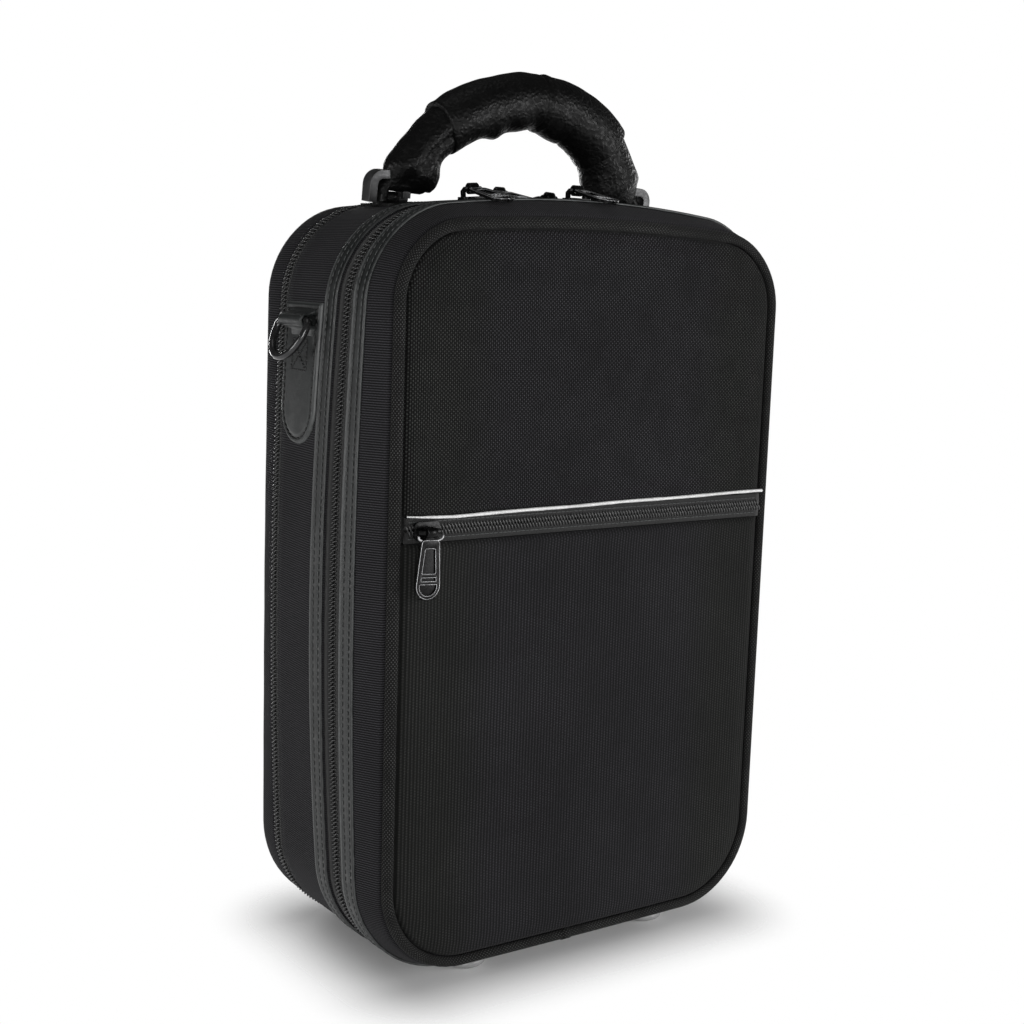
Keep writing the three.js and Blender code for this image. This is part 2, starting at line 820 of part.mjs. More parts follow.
function makeBackPanel() {
  const inset = backEdgeRound + fitGap;
  return meshOf('back_panel', stackSolid([
    [backPanelFront, inset],
    [bodyDepth, inset],
    [bodyDepth + backPanelCrown / 2, inset + backPanelCrown],
    [bodyDepth + backPanelCrown, inset + panelPlateauWidth],
  ]), fabricBlack);
}

// A flat patch laid along a surface, given as rows of half widths; pointAt(along, across, lift) places a point
function patchSolid(rows, pointAt, innerLift, outerLift) {
  const positions = rows.flatMap(([along, half]) => [
    pointAt(along, -half, innerLift),
    pointAt(along, half, innerLift),
    pointAt(along, half, outerLift),
    pointAt(along, -half, outerLift),
  ]);
  const faces = rows.slice(1).flatMap((_, i) => joinLoops(i * patchSides, (i + 1) * patchSides, patchSides, true));
  const last = (rows.length - 1) * patchSides;
  faces.push([0, 2, 1], [0, 3, 2], [last, last + 1, last + 2], [last, last + 2, last + 3]);
  return solidFrom(positions, faces);
}

// Side tongues with a loop for the strap ring

const tongueOuter = patchGap + tongueThickness;
const loopBore = dRingWireRadius + fitGap;
const loopRadius = loopBore + loopWall;
const dRingZ = tongueTop - dRingDrop;
const dRingX = sideSurface(tongueDepth, dRingZ) + tongueOuter + loopStandoff + loopRadius;

function makeTongue(name, side) {
  const half = tongueWidth / 2;
  const pointAt = (z, across, lift) => {
    const y = tongueDepth + across;
    return new THREE.Vector3(side * (sideSurface(y, z) + lift), y, z);
  };
  const straightRows = straightRowShares.map((share) => [tongueTop - share * (tongueLength - half), half]);
  const roundRows = Array.from({ length: tongueRoundSteps }, (_, i) => {
    const angle = (quarterTurn) * ((i + 1) / (tongueRoundSteps + 1));
    return [tongueTop - tongueLength + half * (1 - Math.sin(angle)), half * Math.cos(angle)];
  });
  const plate = patchSolid([...straightRows, ...roundRows], pointAt, patchGap, tongueOuter);
  const faceX = sideSurface(tongueDepth, dRingZ) + patchGap;
  const webReach = [side * faceX, side * dRingX].sort((a, b) => a - b);
  const web = boxBetween(
    [webReach[0], tongueDepth - loopWidth / 2, dRingZ - loopWall],
    [webReach[1], tongueDepth + loopWidth / 2, dRingZ + loopWall],
  );
  const place = (radius, length) => {
    return cylinderAlong('y', radius, length, barrelSides).translate(side * dRingX, tongueDepth, dRingZ);
  };
  const loop = joined([plate, web, place(loopRadius, loopWidth)]);
  return meshOf(name, cut(loop, [place(loopBore, tongueWidth)]), vinylGrey);
}

function makeDRing(name, side) {
  const half = dRingWidth / 2 - dRingWireRadius;
  const straight = dRingHeight - 2 * dRingWireRadius - half;
  const corner = dRingCornerRadius;
  const at = (y, z) => new THREE.Vector3(0, y, z);
  const arc = (centreY, centreZ, radius, from, to, steps) => Array.from({ length: steps + 1 }, (_, i) => {
    const angle = THREE.MathUtils.lerp(from, to, i / steps);
    return at(centreY + radius * Math.cos(angle), centreZ + radius * Math.sin(angle));
  });
  const points = [
    ...arc(half - corner, -corner, corner, quarterTurn, 0, dRingCornerSteps),
    ...arc(0, -straight, half, 0, -Math.PI, dRingBowSteps),
    ...arc(corner - half, -corner, corner, Math.PI, quarterTurn, dRingCornerSteps),
  ];
  const mesh = meshOf(name, wireLoop(points, dRingWireRadius, roundSides), gunmetal);
  mesh.position.set(side * dRingX, tongueDepth, dRingZ);
  mesh.rotation.y = -side * dRingLean;
  return mesh;
}

// Zip slider: two plates on a post, with an arch on top. Local X along the zip, Z outwards.

const plateRise = coilProud + fitGap;
const lowerPlateRise = -tapeInset - tapeThickness - fitGap;

function sliderGeometry() {
  const outline = roundedRectangle(sliderLength / 2, sliderWidth / 2, sliderWidth * sliderCornerShare);
  const top = extruded(outline, sliderPlateThickness, plateCornerSteps).translate(0, 0, plateRise);
  const lower = extruded(outline, sliderLowerPlateThickness, plateCornerSteps);
  lower.translate(0, 0, lowerPlateRise - sliderLowerPlateThickness);
  const halfPost = coilGap / 2 - fitGap;
  const post = boxBetween(
    [-sliderPostLength / 2, -halfPost, lowerPlateRise - sliderLowerPlateThickness / 2],
    [sliderPostLength / 2, halfPost, plateRise + sliderPlateThickness / 2],
  );
  return joined([top, lower, post, bailGeometry()]);
}

function bailGeometry() {
  const half = bailLength / 2;
  const foot = plateRise + sliderPlateThickness / 2;
  const crown = bailAxisHeight + bailThickness / 2;
  const under = bailAxisHeight - bailThickness / 2;
  const inner = half - bailThickness;
  const shape = new THREE.Shape([
    new THREE.Vector2(-half, foot),
    new THREE.Vector2(-inner, foot),
    new THREE.Vector2(-inner, under),
    new THREE.Vector2(inner, under),
    new THREE.Vector2(inner, foot),
    new THREE.Vector2(half, foot),
    new THREE.Vector2(half, under),
    new THREE.Vector2(inner, crown),
    new THREE.Vector2(-inner, crown),
    new THREE.Vector2(-half, under),
  ]);
  return extruded(shape, bailThickness, plainSteps).translate(0, 0, -bailThickness / 2).rotateX(quarterTurn);
}

// Pull: a barrel on the arch and a tapered tongue with two shallow recesses. It points along local -Y.

function taperedPlate(fromY, toY, widthAt, thickness) {
  const shape = new THREE.Shape([
    new THREE.Vector2(-widthAt(fromY) / 2, -fromY),
    new THREE.Vector2(-widthAt(toY) / 2, -toY),
    new THREE.Vector2(widthAt(toY) / 2, -toY),
    new THREE.Vector2(widthAt(fromY) / 2, -fromY),
  ]);
  return extruded(shape, thickness, plainSteps);
}

function pullGeometry() {
  const bore = bailThickness * pullBoreShare;
  const widthAt = (distance) => THREE.MathUtils.lerp(pullRootWidth, pullTipWidth, distance / pullLength);
  const neckEnd = pullBarrelRadius + pullThickness / 2;
  const half = pullThickness / 2;
  const neck = taperedPlate(bore + pullRecessDepth, neckEnd, () => pullBarrelLength, pullThickness).translate(0, 0, -half);
  const plate = taperedPlate(neckEnd - fitGap, pullLength - pullRimWidth, widthAt, pullThickness).translate(0, 0, -half);
  const tipWidth = (distance) => widthAt(distance) - 2 * pullRimWidth * (distance > pullLength - pullRimWidth / 2 ? 1 : 0);
  const tip = taperedPlate(pullLength - pullRimWidth, pullLength, tipWidth, pullThickness).translate(0, 0, -half);
  const barrel = cylinderAlong('x', pullBarrelRadius, pullBarrelLength, barrelSides);
  const hole = cylinderAlong('x', bore, pullBarrelLength + cutOverrun, barrelSides);
  const insetWidth = (distance) => widthAt(distance) - 2 * pullRimWidth;
  const windowStart = neckEnd + pullRimWidth;
  const recessEnd = pullLength - pullRimWidth;
  const recess = (from, to) => taperedPlate(from, to, insetWidth, pullThickness).translate(0, 0, half - pullRecessDepth);
  const recesses = [
    recess(windowStart, windowStart + pullWindowLength),
    recess(recessEnd - pullTipRecessLength, recessEnd),
  ];
  return cut(joined([neck, plate, tip, barrel]), [hole, ...recesses]);
}

function makeSlider(name) {
  return meshOf(name, sliderGeometry(), gunmetal);
}

function makePull(name, tilt) {
  const mesh = meshOf(name, pullGeometry(), gunmetal);
  mesh.position.z = bailAxisHeight;
  mesh.rotation.x = tilt;
  return mesh;
}

// A slider and its pull stood on the top of the body, square to its arch
function topSlider(names, x, y, tilt, turned) {
  const station = stationAt(y);
  const radius = station.halfWidth ** 2 / (2 * station.topCrown);
  const angle = Math.asin(x / radius);
  const group = new THREE.Group();
  group.add(makeSlider(names[0]));
  const pull = makePull(names[1], tilt);
  if (turned) pull.rotation.set(-tilt, 0, Math.PI);
  group.add(pull);
  group.position.set(x, y, topSurface(0, y) - radius + radius * Math.cos(angle));
  group.rotation.y = angle;
  return group;
}

function makePocketSlider() {
  const group = new THREE.Group();
  const pull = makePull('pocket_pull', 0);
  group.add(makeSlider('pocket_slider'), pull);
  group.position.set(pocketSliderX, -pocketTapeDepth - fitGap, pocketZipHeight);
  group.rotation.x = quarterTurn;
  return group;
}

// Handle: padded core, stitched grip cover and two flat rings on pins

function handleCurve() {
  return new THREE.CatmullRomCurve3(handleRows.map(([x, z]) => new THREE.Vector3(x, 0, z)));
}

// Half sizes of the padding along the handle, with a layer of the given thickness over it
function handleSizes(layer) {
  const sizes = new THREE.CatmullRomCurve3(handleRows.map(([, , width, thickness]) => new THREE.Vector3(width, thickness, 0)));
  return (share) => {
    const size = sizes.getPoint(share);
    return { inPlane: size.x + layer, outOfPlane: size.y + layer };
  };
}

// A flat-footed plate with two rounded top corners, standing in the XZ plane
function domedPlate(half, foot, top, round, width) {
  const shape = new THREE.Shape();
  shape.moveTo(-half, foot);
  shape.lineTo(half, foot);
  shape.absarc(half - round, top - round, round, 0, quarterTurn);
  shape.absarc(round - half, top - round, round, quarterTurn, Math.PI);
  return extruded(shape, width, ringCornerSteps).rotateX(quarterTurn).translate(0, width / 2, 0);
}

function ringGeometry(side, grow) {
  const top = ringHeight - ringPinRadius;
  const foot = ringPinRadius * ringFootShare;
  const width = ringBandWidth + 2 * grow;
  const half = ringHalfWidth + grow;
  const outer = domedPlate(half, foot - grow, top + grow, ringCornerRadius + grow, width);
  const shrink = ringBandThickness + grow;
  const inner = domedPlate(
    ringHalfWidth - shrink,
    foot - cutOverrun,
    top - shrink,
    ringCornerRadius - shrink,
    width + cutOverrun,
  );
  const [near, far] = [side * (ringHalfWidth - shrink), side * half].sort((a, b) => a - b);
  const hook = boxBetween([near, -width / 2, -ringOuterDrop - grow], [far, width / 2, foot + ringPinRadius]);
  return joined([cut(outer, [inner]), hook, cylinderAlong('x', ringPinRadius + grow, 2 * half, barrelSides)]);
}

function makeHandle() {
  const group = new THREE.Group();
  const curve = handleCurve();
  const rings = [-1, 1].map((side) => ringGeometry(side, fitGap).translate(side * ringX, 0, 0));
  const tabReach = ringPinRadius + tabWall + 2 * fitGap;
  const tabHollows = [-1, 1].map((side) => {
    return cylinderAlong('x', tabReach, tabWidth + 2 * fitGap, barrelSides).translate(side * ringX, 0, 0);
  });
  const core = archSolid(curve, archSteps, archSides, handleSizes(0));
  group.add(meshOf('handle_core', cut(core, [...rings, ...tabHollows]), leatherBlack));
  const [start, end] = [gripStartShare, gripEndShare];
  const cover = archSolid(curve, gripSteps, archSides, handleSizes(gripThickness), start, end);
  const over = (end - start) / gripSteps;
  const [from, to] = [start - over, end + over];
  const inside = archSolid(curve, gripSteps + 2, archSides, handleSizes(fitGap), from, to);
  group.add(meshOf('handle_grip', cut(cover, [inside]), leatherBlack));
  ['handle_ring_left', 'handle_ring_right'].forEach((name, i) => {
    const side = i ? 1 : -1;
    const ring = meshOf(name, ringGeometry(side, 0), gunmetal);
    ring.position.x = side * ringX;
    group.add(ring);
  });
  group.position.set(handleX, handleDepth, handlePivotZ);
  group.rotation.x = handleLean;
  return group;
}

const handlePivotZ = topSurface(ringX, handleDepth) + handlePivotRise;
const tabX = (side) => handleX + side * ringX;

// Tabs that hold the ring pins on the top of the shell
function makeHandleTab(name, side) {
  const pointAt = (along, across, lift) => {
    const x = tabX(side) + across;
    return new THREE.Vector3(x, handleDepth + along, topSurface(x, handleDepth + along) + lift);
  };
  const rows = [[-tabPlateLength / 2, tabPlateWidth / 2], [tabPlateLength / 2, tabPlateWidth / 2]];
  const plate = patchSolid(rows, pointAt, fitGap, fitGap + tabPlateThickness);
  const bore = ringPinRadius + fitGap;
  const place = (radius, length) => {
    return cylinderAlong('x', radius, length, barrelSides).translate(tabX(side), handleDepth, handlePivotZ);
  };
  const outer = kept(place(bore + tabWall, tabWidth), boxAbove(side));
  return meshOf(name, cut(joined([plate, outer]), [place(bore, 2 * ringHalfWidth)]), leatherBlack);
}

function boxAbove(side) {
  const floor = topSurface(Math.abs(tabX(side)) - tabWidth / 2, handleDepth) + fitGap;
  const [near, far] = [tabX(side) - ringHalfWidth, tabX(side) + ringHalfWidth];
  return boxBetween([near, handleDepth - tabPlateLength, floor], [far, handleDepth + tabPlateLength, panelReach + frontHalfHeight]);
}

// Assembly

const part = new THREE.Group();
part.name = 'clarinet_case';

const body = new THREE.Group();
body.add(makeLidGusset(), makeLidBoard(), makeFrontPiping(), makeUpperPanel(), makePocketPanel());
body.add(makeLidTrim(), makeStringer('lid_zip_stringer', partingDepth, zipHalfWidth, -1), makeLidPad());
body.add(makePocketStringer('pocket_upper_stringer', 1), makePocketStringer('pocket_lower_stringer', -1));
body.add(makePocketCord(), ...makeLidFeet(), makePocketSlider());
body.add(makeShellGusset(), makeShellTrim(), makeStringer('shell_zip_stringer', partingDepth, zipHalfWidth, 1));
body.add(makeHingeStrip('lid_hinge_strip', lidEdge, shellEdge), makeDivider(), makeTray());
body.add(makeStringer('rear_zip_shell_stringer', rearPartingDepth, rearZipHalfWidth, -1));
body.add(makeHingeStrip('rear_hinge_strip', shellRearEdge, coverEdge));
body.add(makeTongue('left_tongue', -1), makeTongue('right_tongue', 1), ...makeShellFeet());
body.add(makeHandleTab('handle_tab_left', -1), makeHandleTab('handle_tab_right', 1));
body.add(makeBackBand(), makeBackBoard(), makeBackPanel());
body.add(makeStringer('rear_zip_cover_stringer', rearPartingDepth, rearZipHalfWidth, 1));
body.add(makeDRing('left_d_ring', -1), makeDRing('right_d_ring', 1), makeHandle());

const [mainLeftX, mainRightX] = mainSliderXs;
const [rearLeftX, rearRightX] = rearSliderXs;
body.add(topSlider(['main_slider_left', 'main_pull_left'], mainLeftX, partingDepth, mainPullTilt, false));
body.add(topSlider(['main_slider_right', 'main_pull_right'], mainRightX, partingDepth, mainPullTilt, false));
body.add(topSlider(['rear_slider_left', 'rear_pull_left'], rearLeftX, rearPartingDepth, rearPullTilt, false));
body.add(topSlider(['rear_slider_right', 'rear_pull_right'], rearRightX, rearPartingDepth, rearPullTilt, true));
part.add(body);

// Stand the part on its feet, centred over the origin
part.updateMatrixWorld(true);
const bounds = new THREE.Box3().setFromObject(part, true);
const middle = bounds.getCenter(new THREE.Vector3());
body.position.set(-middle.x, -middle.y, -bounds.min.z);

export default part;
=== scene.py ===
import math

import bmesh
import bpy
import numpy as np
from mathutils import Matrix, Vector


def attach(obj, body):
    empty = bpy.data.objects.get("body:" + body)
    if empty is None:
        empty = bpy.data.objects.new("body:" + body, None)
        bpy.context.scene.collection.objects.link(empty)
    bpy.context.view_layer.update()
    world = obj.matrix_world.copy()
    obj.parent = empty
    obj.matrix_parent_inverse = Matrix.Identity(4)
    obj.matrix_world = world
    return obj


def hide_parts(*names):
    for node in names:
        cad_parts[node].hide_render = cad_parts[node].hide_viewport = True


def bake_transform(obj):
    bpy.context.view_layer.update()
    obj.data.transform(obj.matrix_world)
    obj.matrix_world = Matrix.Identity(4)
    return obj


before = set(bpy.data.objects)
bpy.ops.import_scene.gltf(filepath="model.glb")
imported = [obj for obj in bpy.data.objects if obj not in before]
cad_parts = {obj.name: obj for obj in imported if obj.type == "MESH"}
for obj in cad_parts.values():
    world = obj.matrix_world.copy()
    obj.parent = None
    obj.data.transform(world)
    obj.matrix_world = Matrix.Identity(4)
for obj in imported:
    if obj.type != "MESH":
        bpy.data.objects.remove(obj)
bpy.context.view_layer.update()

# Lengths are in millimetres; make() moves them to the part's own frame, in metres.
MM = 0.001
SHIFT = np.array([0.0, -55.639, 178.8])

# Sizes shared with the solids
HALF_WIDTH, HALF_HEIGHT = 110.5, 170.0
TOP_RADIUS, BOTTOM_RADIUS = 34.0, 43.0
GROWTH, BACK_GROWTH = 3.0, 3.6
FRONT_TOP_CROWN, FRONT_BOTTOM_CROWN = 5.4, 0.8
TOP_CROWN, BOTTOM_CROWN = 10.5, 3.2
LID_BOW, PARTING_BOW, SHELL_BOW, REAR_BOW = 6.0, 8.3, 9.5, 6.0
PARTING, REAR_PARTING, DEPTH = 32.0, 93.0, 119.0
ZIP_HALF, REAR_ZIP_HALF = 7.0, 4.6
TRIM_WIDTH = 10.0
FURROW, RIDGE_STEP = 2.1, 1.3
LID_EDGE, SHELL_EDGE = PARTING - ZIP_HALF, PARTING + ZIP_HALF
REAR_EDGE, COVER_EDGE = REAR_PARTING - REAR_ZIP_HALF, REAR_PARTING + REAR_ZIP_HALF
BACK_ROUND = 8.0
SEAM_GAP = 0.3
WALL_THICK = 5.0
PIPING_CENTRE, PIPING_RADIUS = (0.4, 2.4), 2.4
HINGE_HALF, HINGE_GAP = 58.0, 0.2
BOARD_INSET = 5.45
PANEL_CROWN = 3.4
POCKET_ZIP_Z, POCKET_ZIP_HALF, POCKET_ZIP_LENGTH = 37.6, 6.0, 104.8
TONGUE_WIDTH, TONGUE_LENGTH, TONGUE_TOP = 34.6, 65.0, 134.0
TONGUE_DEPTH = (SHELL_EDGE + TRIM_WIDTH + REAR_EDGE) / 2
LOOP_DEPTH = TONGUE_DEPTH - 2.4
HANDLE_X, HANDLE_Y, HANDLE_Z = -2.5, 71.0, 182.94
HANDLE_LEAN = math.radians(6.5)
# The handle's curve: across, up, half thickness in the arch's plane and across it
HANDLE_ROWS = [
    [-62.6, 2.8, 10.8, 3.3], [-62.4, 6, 12.6, 6.5], [-60, 12.6, 14.2, 12], [-54.3, 23.8, 10.6, 12],
    [-41.8, 36, 11, 12.5], [-20.5, 45.6, 11.8, 12.5], [2.5, 50.1, 11.8, 12.5], [24, 46.6, 12.8, 12.5],
    [45, 35.6, 13.4, 12.5], [54, 23.6, 14.5, 13], [59, 12.6, 16.5, 13], [62.4, 6, 14, 6.7],
    [62.6, 2.8, 11, 3.3],
]
GRIP_START, GRIP_END, GRIP_SEAM = 0.308, 0.704, 0.517
# Folds inside the grip's bend: share of the way along, width, height
GRIP_FOLDS = [
    (0.42, 0.016, 1.7), (0.475, 0.02, 0.9), (0.51, 0.009, -0.6), (0.57, 0.02, 0.8), (0.6, 0.004, -1.0),
]
RING_LEATHER_X = 76.0
RING_LEAN = math.radians(25)

# Materials


class Tree:
    """A short way to write a material's nodes."""

    def __init__(self, name):
        self.material = bpy.data.materials.new(name)
        self.material.use_nodes = True
        self.nodes = self.material.node_tree.nodes
        self.links = self.material.node_tree.links
        self.shader = self.nodes["Principled BSDF"]

    def put(self, kind, inputs, out=0, **settings):
        node = self.nodes.new(kind)
        for key, value in settings.items():
            setattr(node, key, value)
        for key, value in inputs.items():
            self.set(node.inputs[key], value)
        return node.outputs[out]

    def set(self, socket, value):
        if isinstance(value, bpy.types.NodeSocket):
            self.links.new(value, socket)
        else:
            socket.default_value = value

    def math(self, op, *values):
        return self.put("ShaderNodeMath", dict(enumerate(values)), operation=op)

    def add(self, a, b):
        return self.math("ADD", a, b)

    def sub(self, a, b):
        return self.math("SUBTRACT", a, b)

    def mul(self, a, b):
        return self.math("MULTIPLY", a, b)

    def size(self, value):
        return self.math("ABSOLUTE", value)

    def mix(self, factor, a, b):
        node = self.nodes.new("ShaderNodeMix")
        node.data_type = "RGBA"
        for socket, value in zip((node.inputs[0], node.inputs[6], node.inputs[7]), (factor, a, b)):
            self.set(socket, value)
        return node.outputs[2]

    def ramp(self, value, low, high, to_low=0.0, to_high=1.0):
        inputs = {"Value": value, "From Min": low, "From Max": high, "To Min": to_low, "To Max": to_high}
        return self.put("ShaderNodeMapRange", inputs, interpolation_type="SMOOTHSTEP")

    def noise(self, vector, scale, detail=3.0):
        return self.put("ShaderNodeTexNoise", {"Vector": vector, "Scale": scale, "Detail": detail})

    def wave(self, value, pitch):
        return self.math("COSINE", self.mul(value, 2 * math.pi / pitch))

    def bump(self, height, strength, distance, after=None):
        inputs = {"Height": height, "Strength": strength, "Distance": distance}
        if after is not None:
            inputs["Normal"] = after
        return self.put("ShaderNodeBump", inputs)

    def place(self):
        return self.put("ShaderNodeTexCoord", {}, out=3)

    def finish(self, **values):
        for key, value in values.items():
            self.set(self.shader.inputs[key.replace("_", " ").title().replace("Ior", "IOR")], value)
        return self.material


def grey(value, tint=(1.0, 1.0, 1.0)):
    return (value * tint[0], value * tint[1], value * tint[2], 1.0)


def split(tree, vector):
    node = tree.nodes.new("ShaderNodeSeparateXYZ")
    tree.links.new(vector, node.inputs[0])
    return node.outputs


def along_path(tree):
    """Distance along the path and across it, in metres, from the sweep's own layer."""
    layer = tree.put("ShaderNodeUVMap", {}, uv_map="weave")
    return split(tree, layer)[:2]


WARM = (1.0, 1.02, 0.97)


def cloth_material(name, dark, light, pitch, on_path, dots, rows=0.0, lines=0.3, tint=(0.98, 0.96, 1.06)):
    """Woven cloth: light floats in a staggered lattice over dark ribs."""
    t = Tree(name)
    place = t.place()
    if on_path:
        u, v = along_path(t)
    else:
        parts = split(t, place)
        u, v = parts[0], parts[2]
    rib, row = t.wave(u, pitch[0]), t.wave(v, pitch[1])
    lattice = t.ramp(t.mul(rib, row), 0.1, 0.95)
    ribs = t.ramp(t.wave(u, pitch[0] / 2), -0.6, 1.0)
    patches = t.ramp(t.noise(place, 90.0, 2.0), 0.32, 0.68, 0.45, 1.0)
    fuzz = t.noise(place, 2400.0, 2.0)
    floats = t.mul(t.mul(lattice, patches), dots)
    along = t.mul(ribs, lines)
    cross = t.mul(t.ramp(t.wave(v, pitch[1] / 2), -0.4, 1.0), rows)
    height = t.add(t.add(floats, along), cross)
    shade = t.add(height, t.mul(t.sub(fuzz, 0.5), 0.5))
    broad = t.ramp(t.noise(place, 14.0, 2.0), 0.3, 0.7, 0.86, 1.12)
    colour = t.mix(t.ramp(shade, 0.0, 1.0), grey(dark, tint), grey(light, tint))
    if not on_path:
        edge = t.ramp(t.size(parts[0]), 0.05, 0.085)
        warm = t.mix(t.ramp(shade, 0.0, 1.0), grey(dark * 0.9, WARM), grey(light * 0.9, WARM))
        colour = t.mix(edge, colour, warm)
    dimmed = t.put("ShaderNodeVectorMath", {0: colour, "Scale": broad}, operation="SCALE")
    first = t.bump(height, 0.6, 0.00035)
    return t.finish(
        base_color=dimmed, roughness=t.ramp(height, 0.0, 1.0, 0.92, 0.7),
        normal=t.bump(fuzz, 0.25, 0.0003, first), sheen_weight=0.02, sheen_roughness=0.5,
        specular_ior_level=0.12,
    )


def vinyl_material(name, base, edge_width=0.0, tint=(0.9, 1.02, 1.02)):
    """Smooth vinyl with a fine grain and random paler wear; with an edge width, a painted highlight along the
    rolled edges and the ridges, and painted shade in the stitched furrows.
    """
    t = Tree(name)
    place = t.place()
    grain = t.put("ShaderNodeTexVoronoi", {"Vector": place, "Scale": 1500.0})
    soft = t.noise(place, 160.0, 4.0)
    worn = t.ramp(t.noise(place, 45.0, 5.0), 0.42, 0.7)
    colour = t.mix(t.mul(worn, 0.5), grey(base, tint), grey(base * 1.7, tint))
    if edge_width:
        across = along_path(t)[1]
        # Painted highlight: the colour turns much paler along the rolled edges, patchy with noise.
        rim = t.ramp(across, 0.0, edge_width, 1.0, 0.0)
        far = t.ramp(across, TRIM_WIDTH * MM - edge_width, TRIM_WIDTH * MM, 0.0, 1.0)
        wear_and_highlight = t.mul(t.math("MAXIMUM", rim, far), t.ramp(soft, 0.3, 0.6, 0.3, 1.0))
        wavy = t.add(across, t.mul(t.sub(t.noise(place, 60.0, 2.0), 0.5), 0.0009))
        from_middle = t.size(t.sub(wavy, TRIM_WIDTH * MM / 2))
        # Painted shade: the stitched furrows are coloured far darker.
        furrow = t.ramp(t.size(t.sub(from_middle, FURROW * MM)), 0.0, 0.001, 1.0, 0.0)
        # Painted highlight: a paler line on each side of the band's raised middle, patchy with noise.
        from_ridge = t.size(t.sub(from_middle, (FURROW - RIDGE_STEP) * MM))
        ridge_highlight = t.ramp(from_ridge, 0.0, 0.0005, 0.5, 0.0)
        colour = t.mix(t.mul(ridge_highlight, t.ramp(soft, 0.35, 0.65)), colour, grey(base * 3.0, tint))
        colour = t.mix(furrow, colour, grey(base * 0.12, tint))
        # Paint the highlight along the rolled edges.
        colour = t.mix(wear_and_highlight, colour, grey(base * 7.5, (0.96, 1.0, 1.0)))
    first = t.bump(grain, 0.25, 0.00012)
    return t.finish(
        base_color=colour, roughness=t.ramp(soft, 0.3, 0.7, 0.36, 0.55),
        normal=t.bump(soft, 0.35, 0.0005, first), specular_ior_level=0.45,
    )


def leather_material(name, base):
    """Pebbled leather: raised cells with painted shade in the creases between them, and a soft shine."""
    t = Tree(name)
    place = t.place()
    warp = t.put("ShaderNodeTexNoise", {"Vector": place, "Scale": 220.0, "Detail": 2.0}, out=1)
    bent = t.put("ShaderNodeMix", {0: 0.0035, 4: place, 5: warp}, out=1, data_type="VECTOR")
    cells = t.put("ShaderNodeTexVoronoi", {"Vector": bent, "Scale": 620.0}, feature="SMOOTH_F1")
    fine = t.noise(place, 1900.0, 3.0)
    pebble = t.ramp(cells, 0.05, 0.85, 1.0, 0.0)
    broad = t.ramp(t.noise(place, 60.0, 3.0), 0.3, 0.7, 0.75, 1.25)
    # Painted shade: the creases between the cells are coloured darker.
    colour = t.mix(pebble, grey(base * 0.3), grey(base))
    dimmed = t.put("ShaderNodeVectorMath", {0: colour, "Scale": broad}, operation="SCALE")
    first = t.bump(pebble, 0.7, 0.00035)
    return t.finish(
        base_color=dimmed, roughness=t.ramp(pebble, 0.0, 1.0, 0.6, 0.34),
        normal=t.bump(fine, 0.1, 0.0001, first), specular_ior_level=0.14,
    )


def metal_material(name, base, rough, tint=(1.0, 1.0, 1.02)):
    """Dark plated metal with fine brushing and random paler wear here and there."""
    t = Tree(name)
    place = t.place()
    fine = t.noise(place, 900.0, 3.0)
    # Random paler wear only; no highlight in this mask.
    wear_and_highlight = t.ramp(t.noise(place, 130.0, 4.0), 0.45, 0.75)
    colour = t.mix(wear_and_highlight, grey(base, tint), grey(base * 1.5, tint))
    return t.finish(
        base_color=colour, metallic=0.75, roughness=t.ramp(fine, 0.3, 0.7, rough - 0.06, rough + 0.08),
        normal=t.bump(fine, 0.15, 0.00015), specular_ior_level=0.25,
    )


def tape_material(name, base):
    """Zip tape: a fine herringbone of dull thread."""
    t = Tree(name)
    place = t.place()
    u, v = along_path(t)
    slope = t.size(t.sub(t.math("MODULO", t.add(v, 1.0), 0.003), 0.0015))
    twill = t.ramp(t.wave(t.add(u, slope), 0.0009), -0.7, 1.0)
    fuzz = t.noise(place, 2600.0, 2.0)
    height = t.add(t.mul(twill, 0.7), t.mul(fuzz, 0.3))
    return t.finish(
        base_color=t.mix(height, grey(base * 0.5), grey(base * 1.6)),
        roughness=t.ramp(fuzz, 0.2, 0.8, 0.75, 0.95), normal=t.bump(height, 0.5, 0.0003), sheen_weight=0.1,
    )


def plain_material(name, base, rough, scale, depth, spread=0.35, tint=(1.0, 1.0, 1.0), **extra):
    """Thread, plush, cord, board and moulded plastic: a mottled colour with its own grain."""
    t = Tree(name)
    place = t.place()
    grain = t.noise(place, scale, 4.0)
    broad = t.noise(place, scale / 12, 2.0)
    mixed = t.add(t.mul(grain, 0.6), t.mul(broad, 0.4))
    colour = t.mix(t.ramp(mixed, 0.3, 0.7), grey(base * (1 - spread), tint), grey(base * (1 + spread), tint))
    return t.finish(
        base_color=colour, roughness=t.ramp(grain, 0.3, 0.7, rough - 0.05, min(1.0, rough + 0.07)),
        normal=t.bump(grain, 0.4, depth), **extra,
    )


PANEL_CLOTH = cloth_material("panel_cloth", 0.003, 0.04, (0.00215, 0.0018), False, 1.0)
POCKET_CLOTH = cloth_material("pocket_cloth", 0.0068, 0.043, (0.0034, 0.0013), False, 0.3, 0.06, 0.3)
SIDE_CLOTH = cloth_material("side_cloth", 0.0056, 0.036, (0.0022, 0.0016), True, 0.3, 0.0, 0.75)
BINDING = cloth_material("binding_cloth", 0.005, 0.056, (0.0019, 0.0016), True, 1.0, 0.1, 0.1,
                         (1.0, 1.0, 0.98))
TRIM_VINYL = vinyl_material("trim_vinyl", 0.0115, 0.0011)
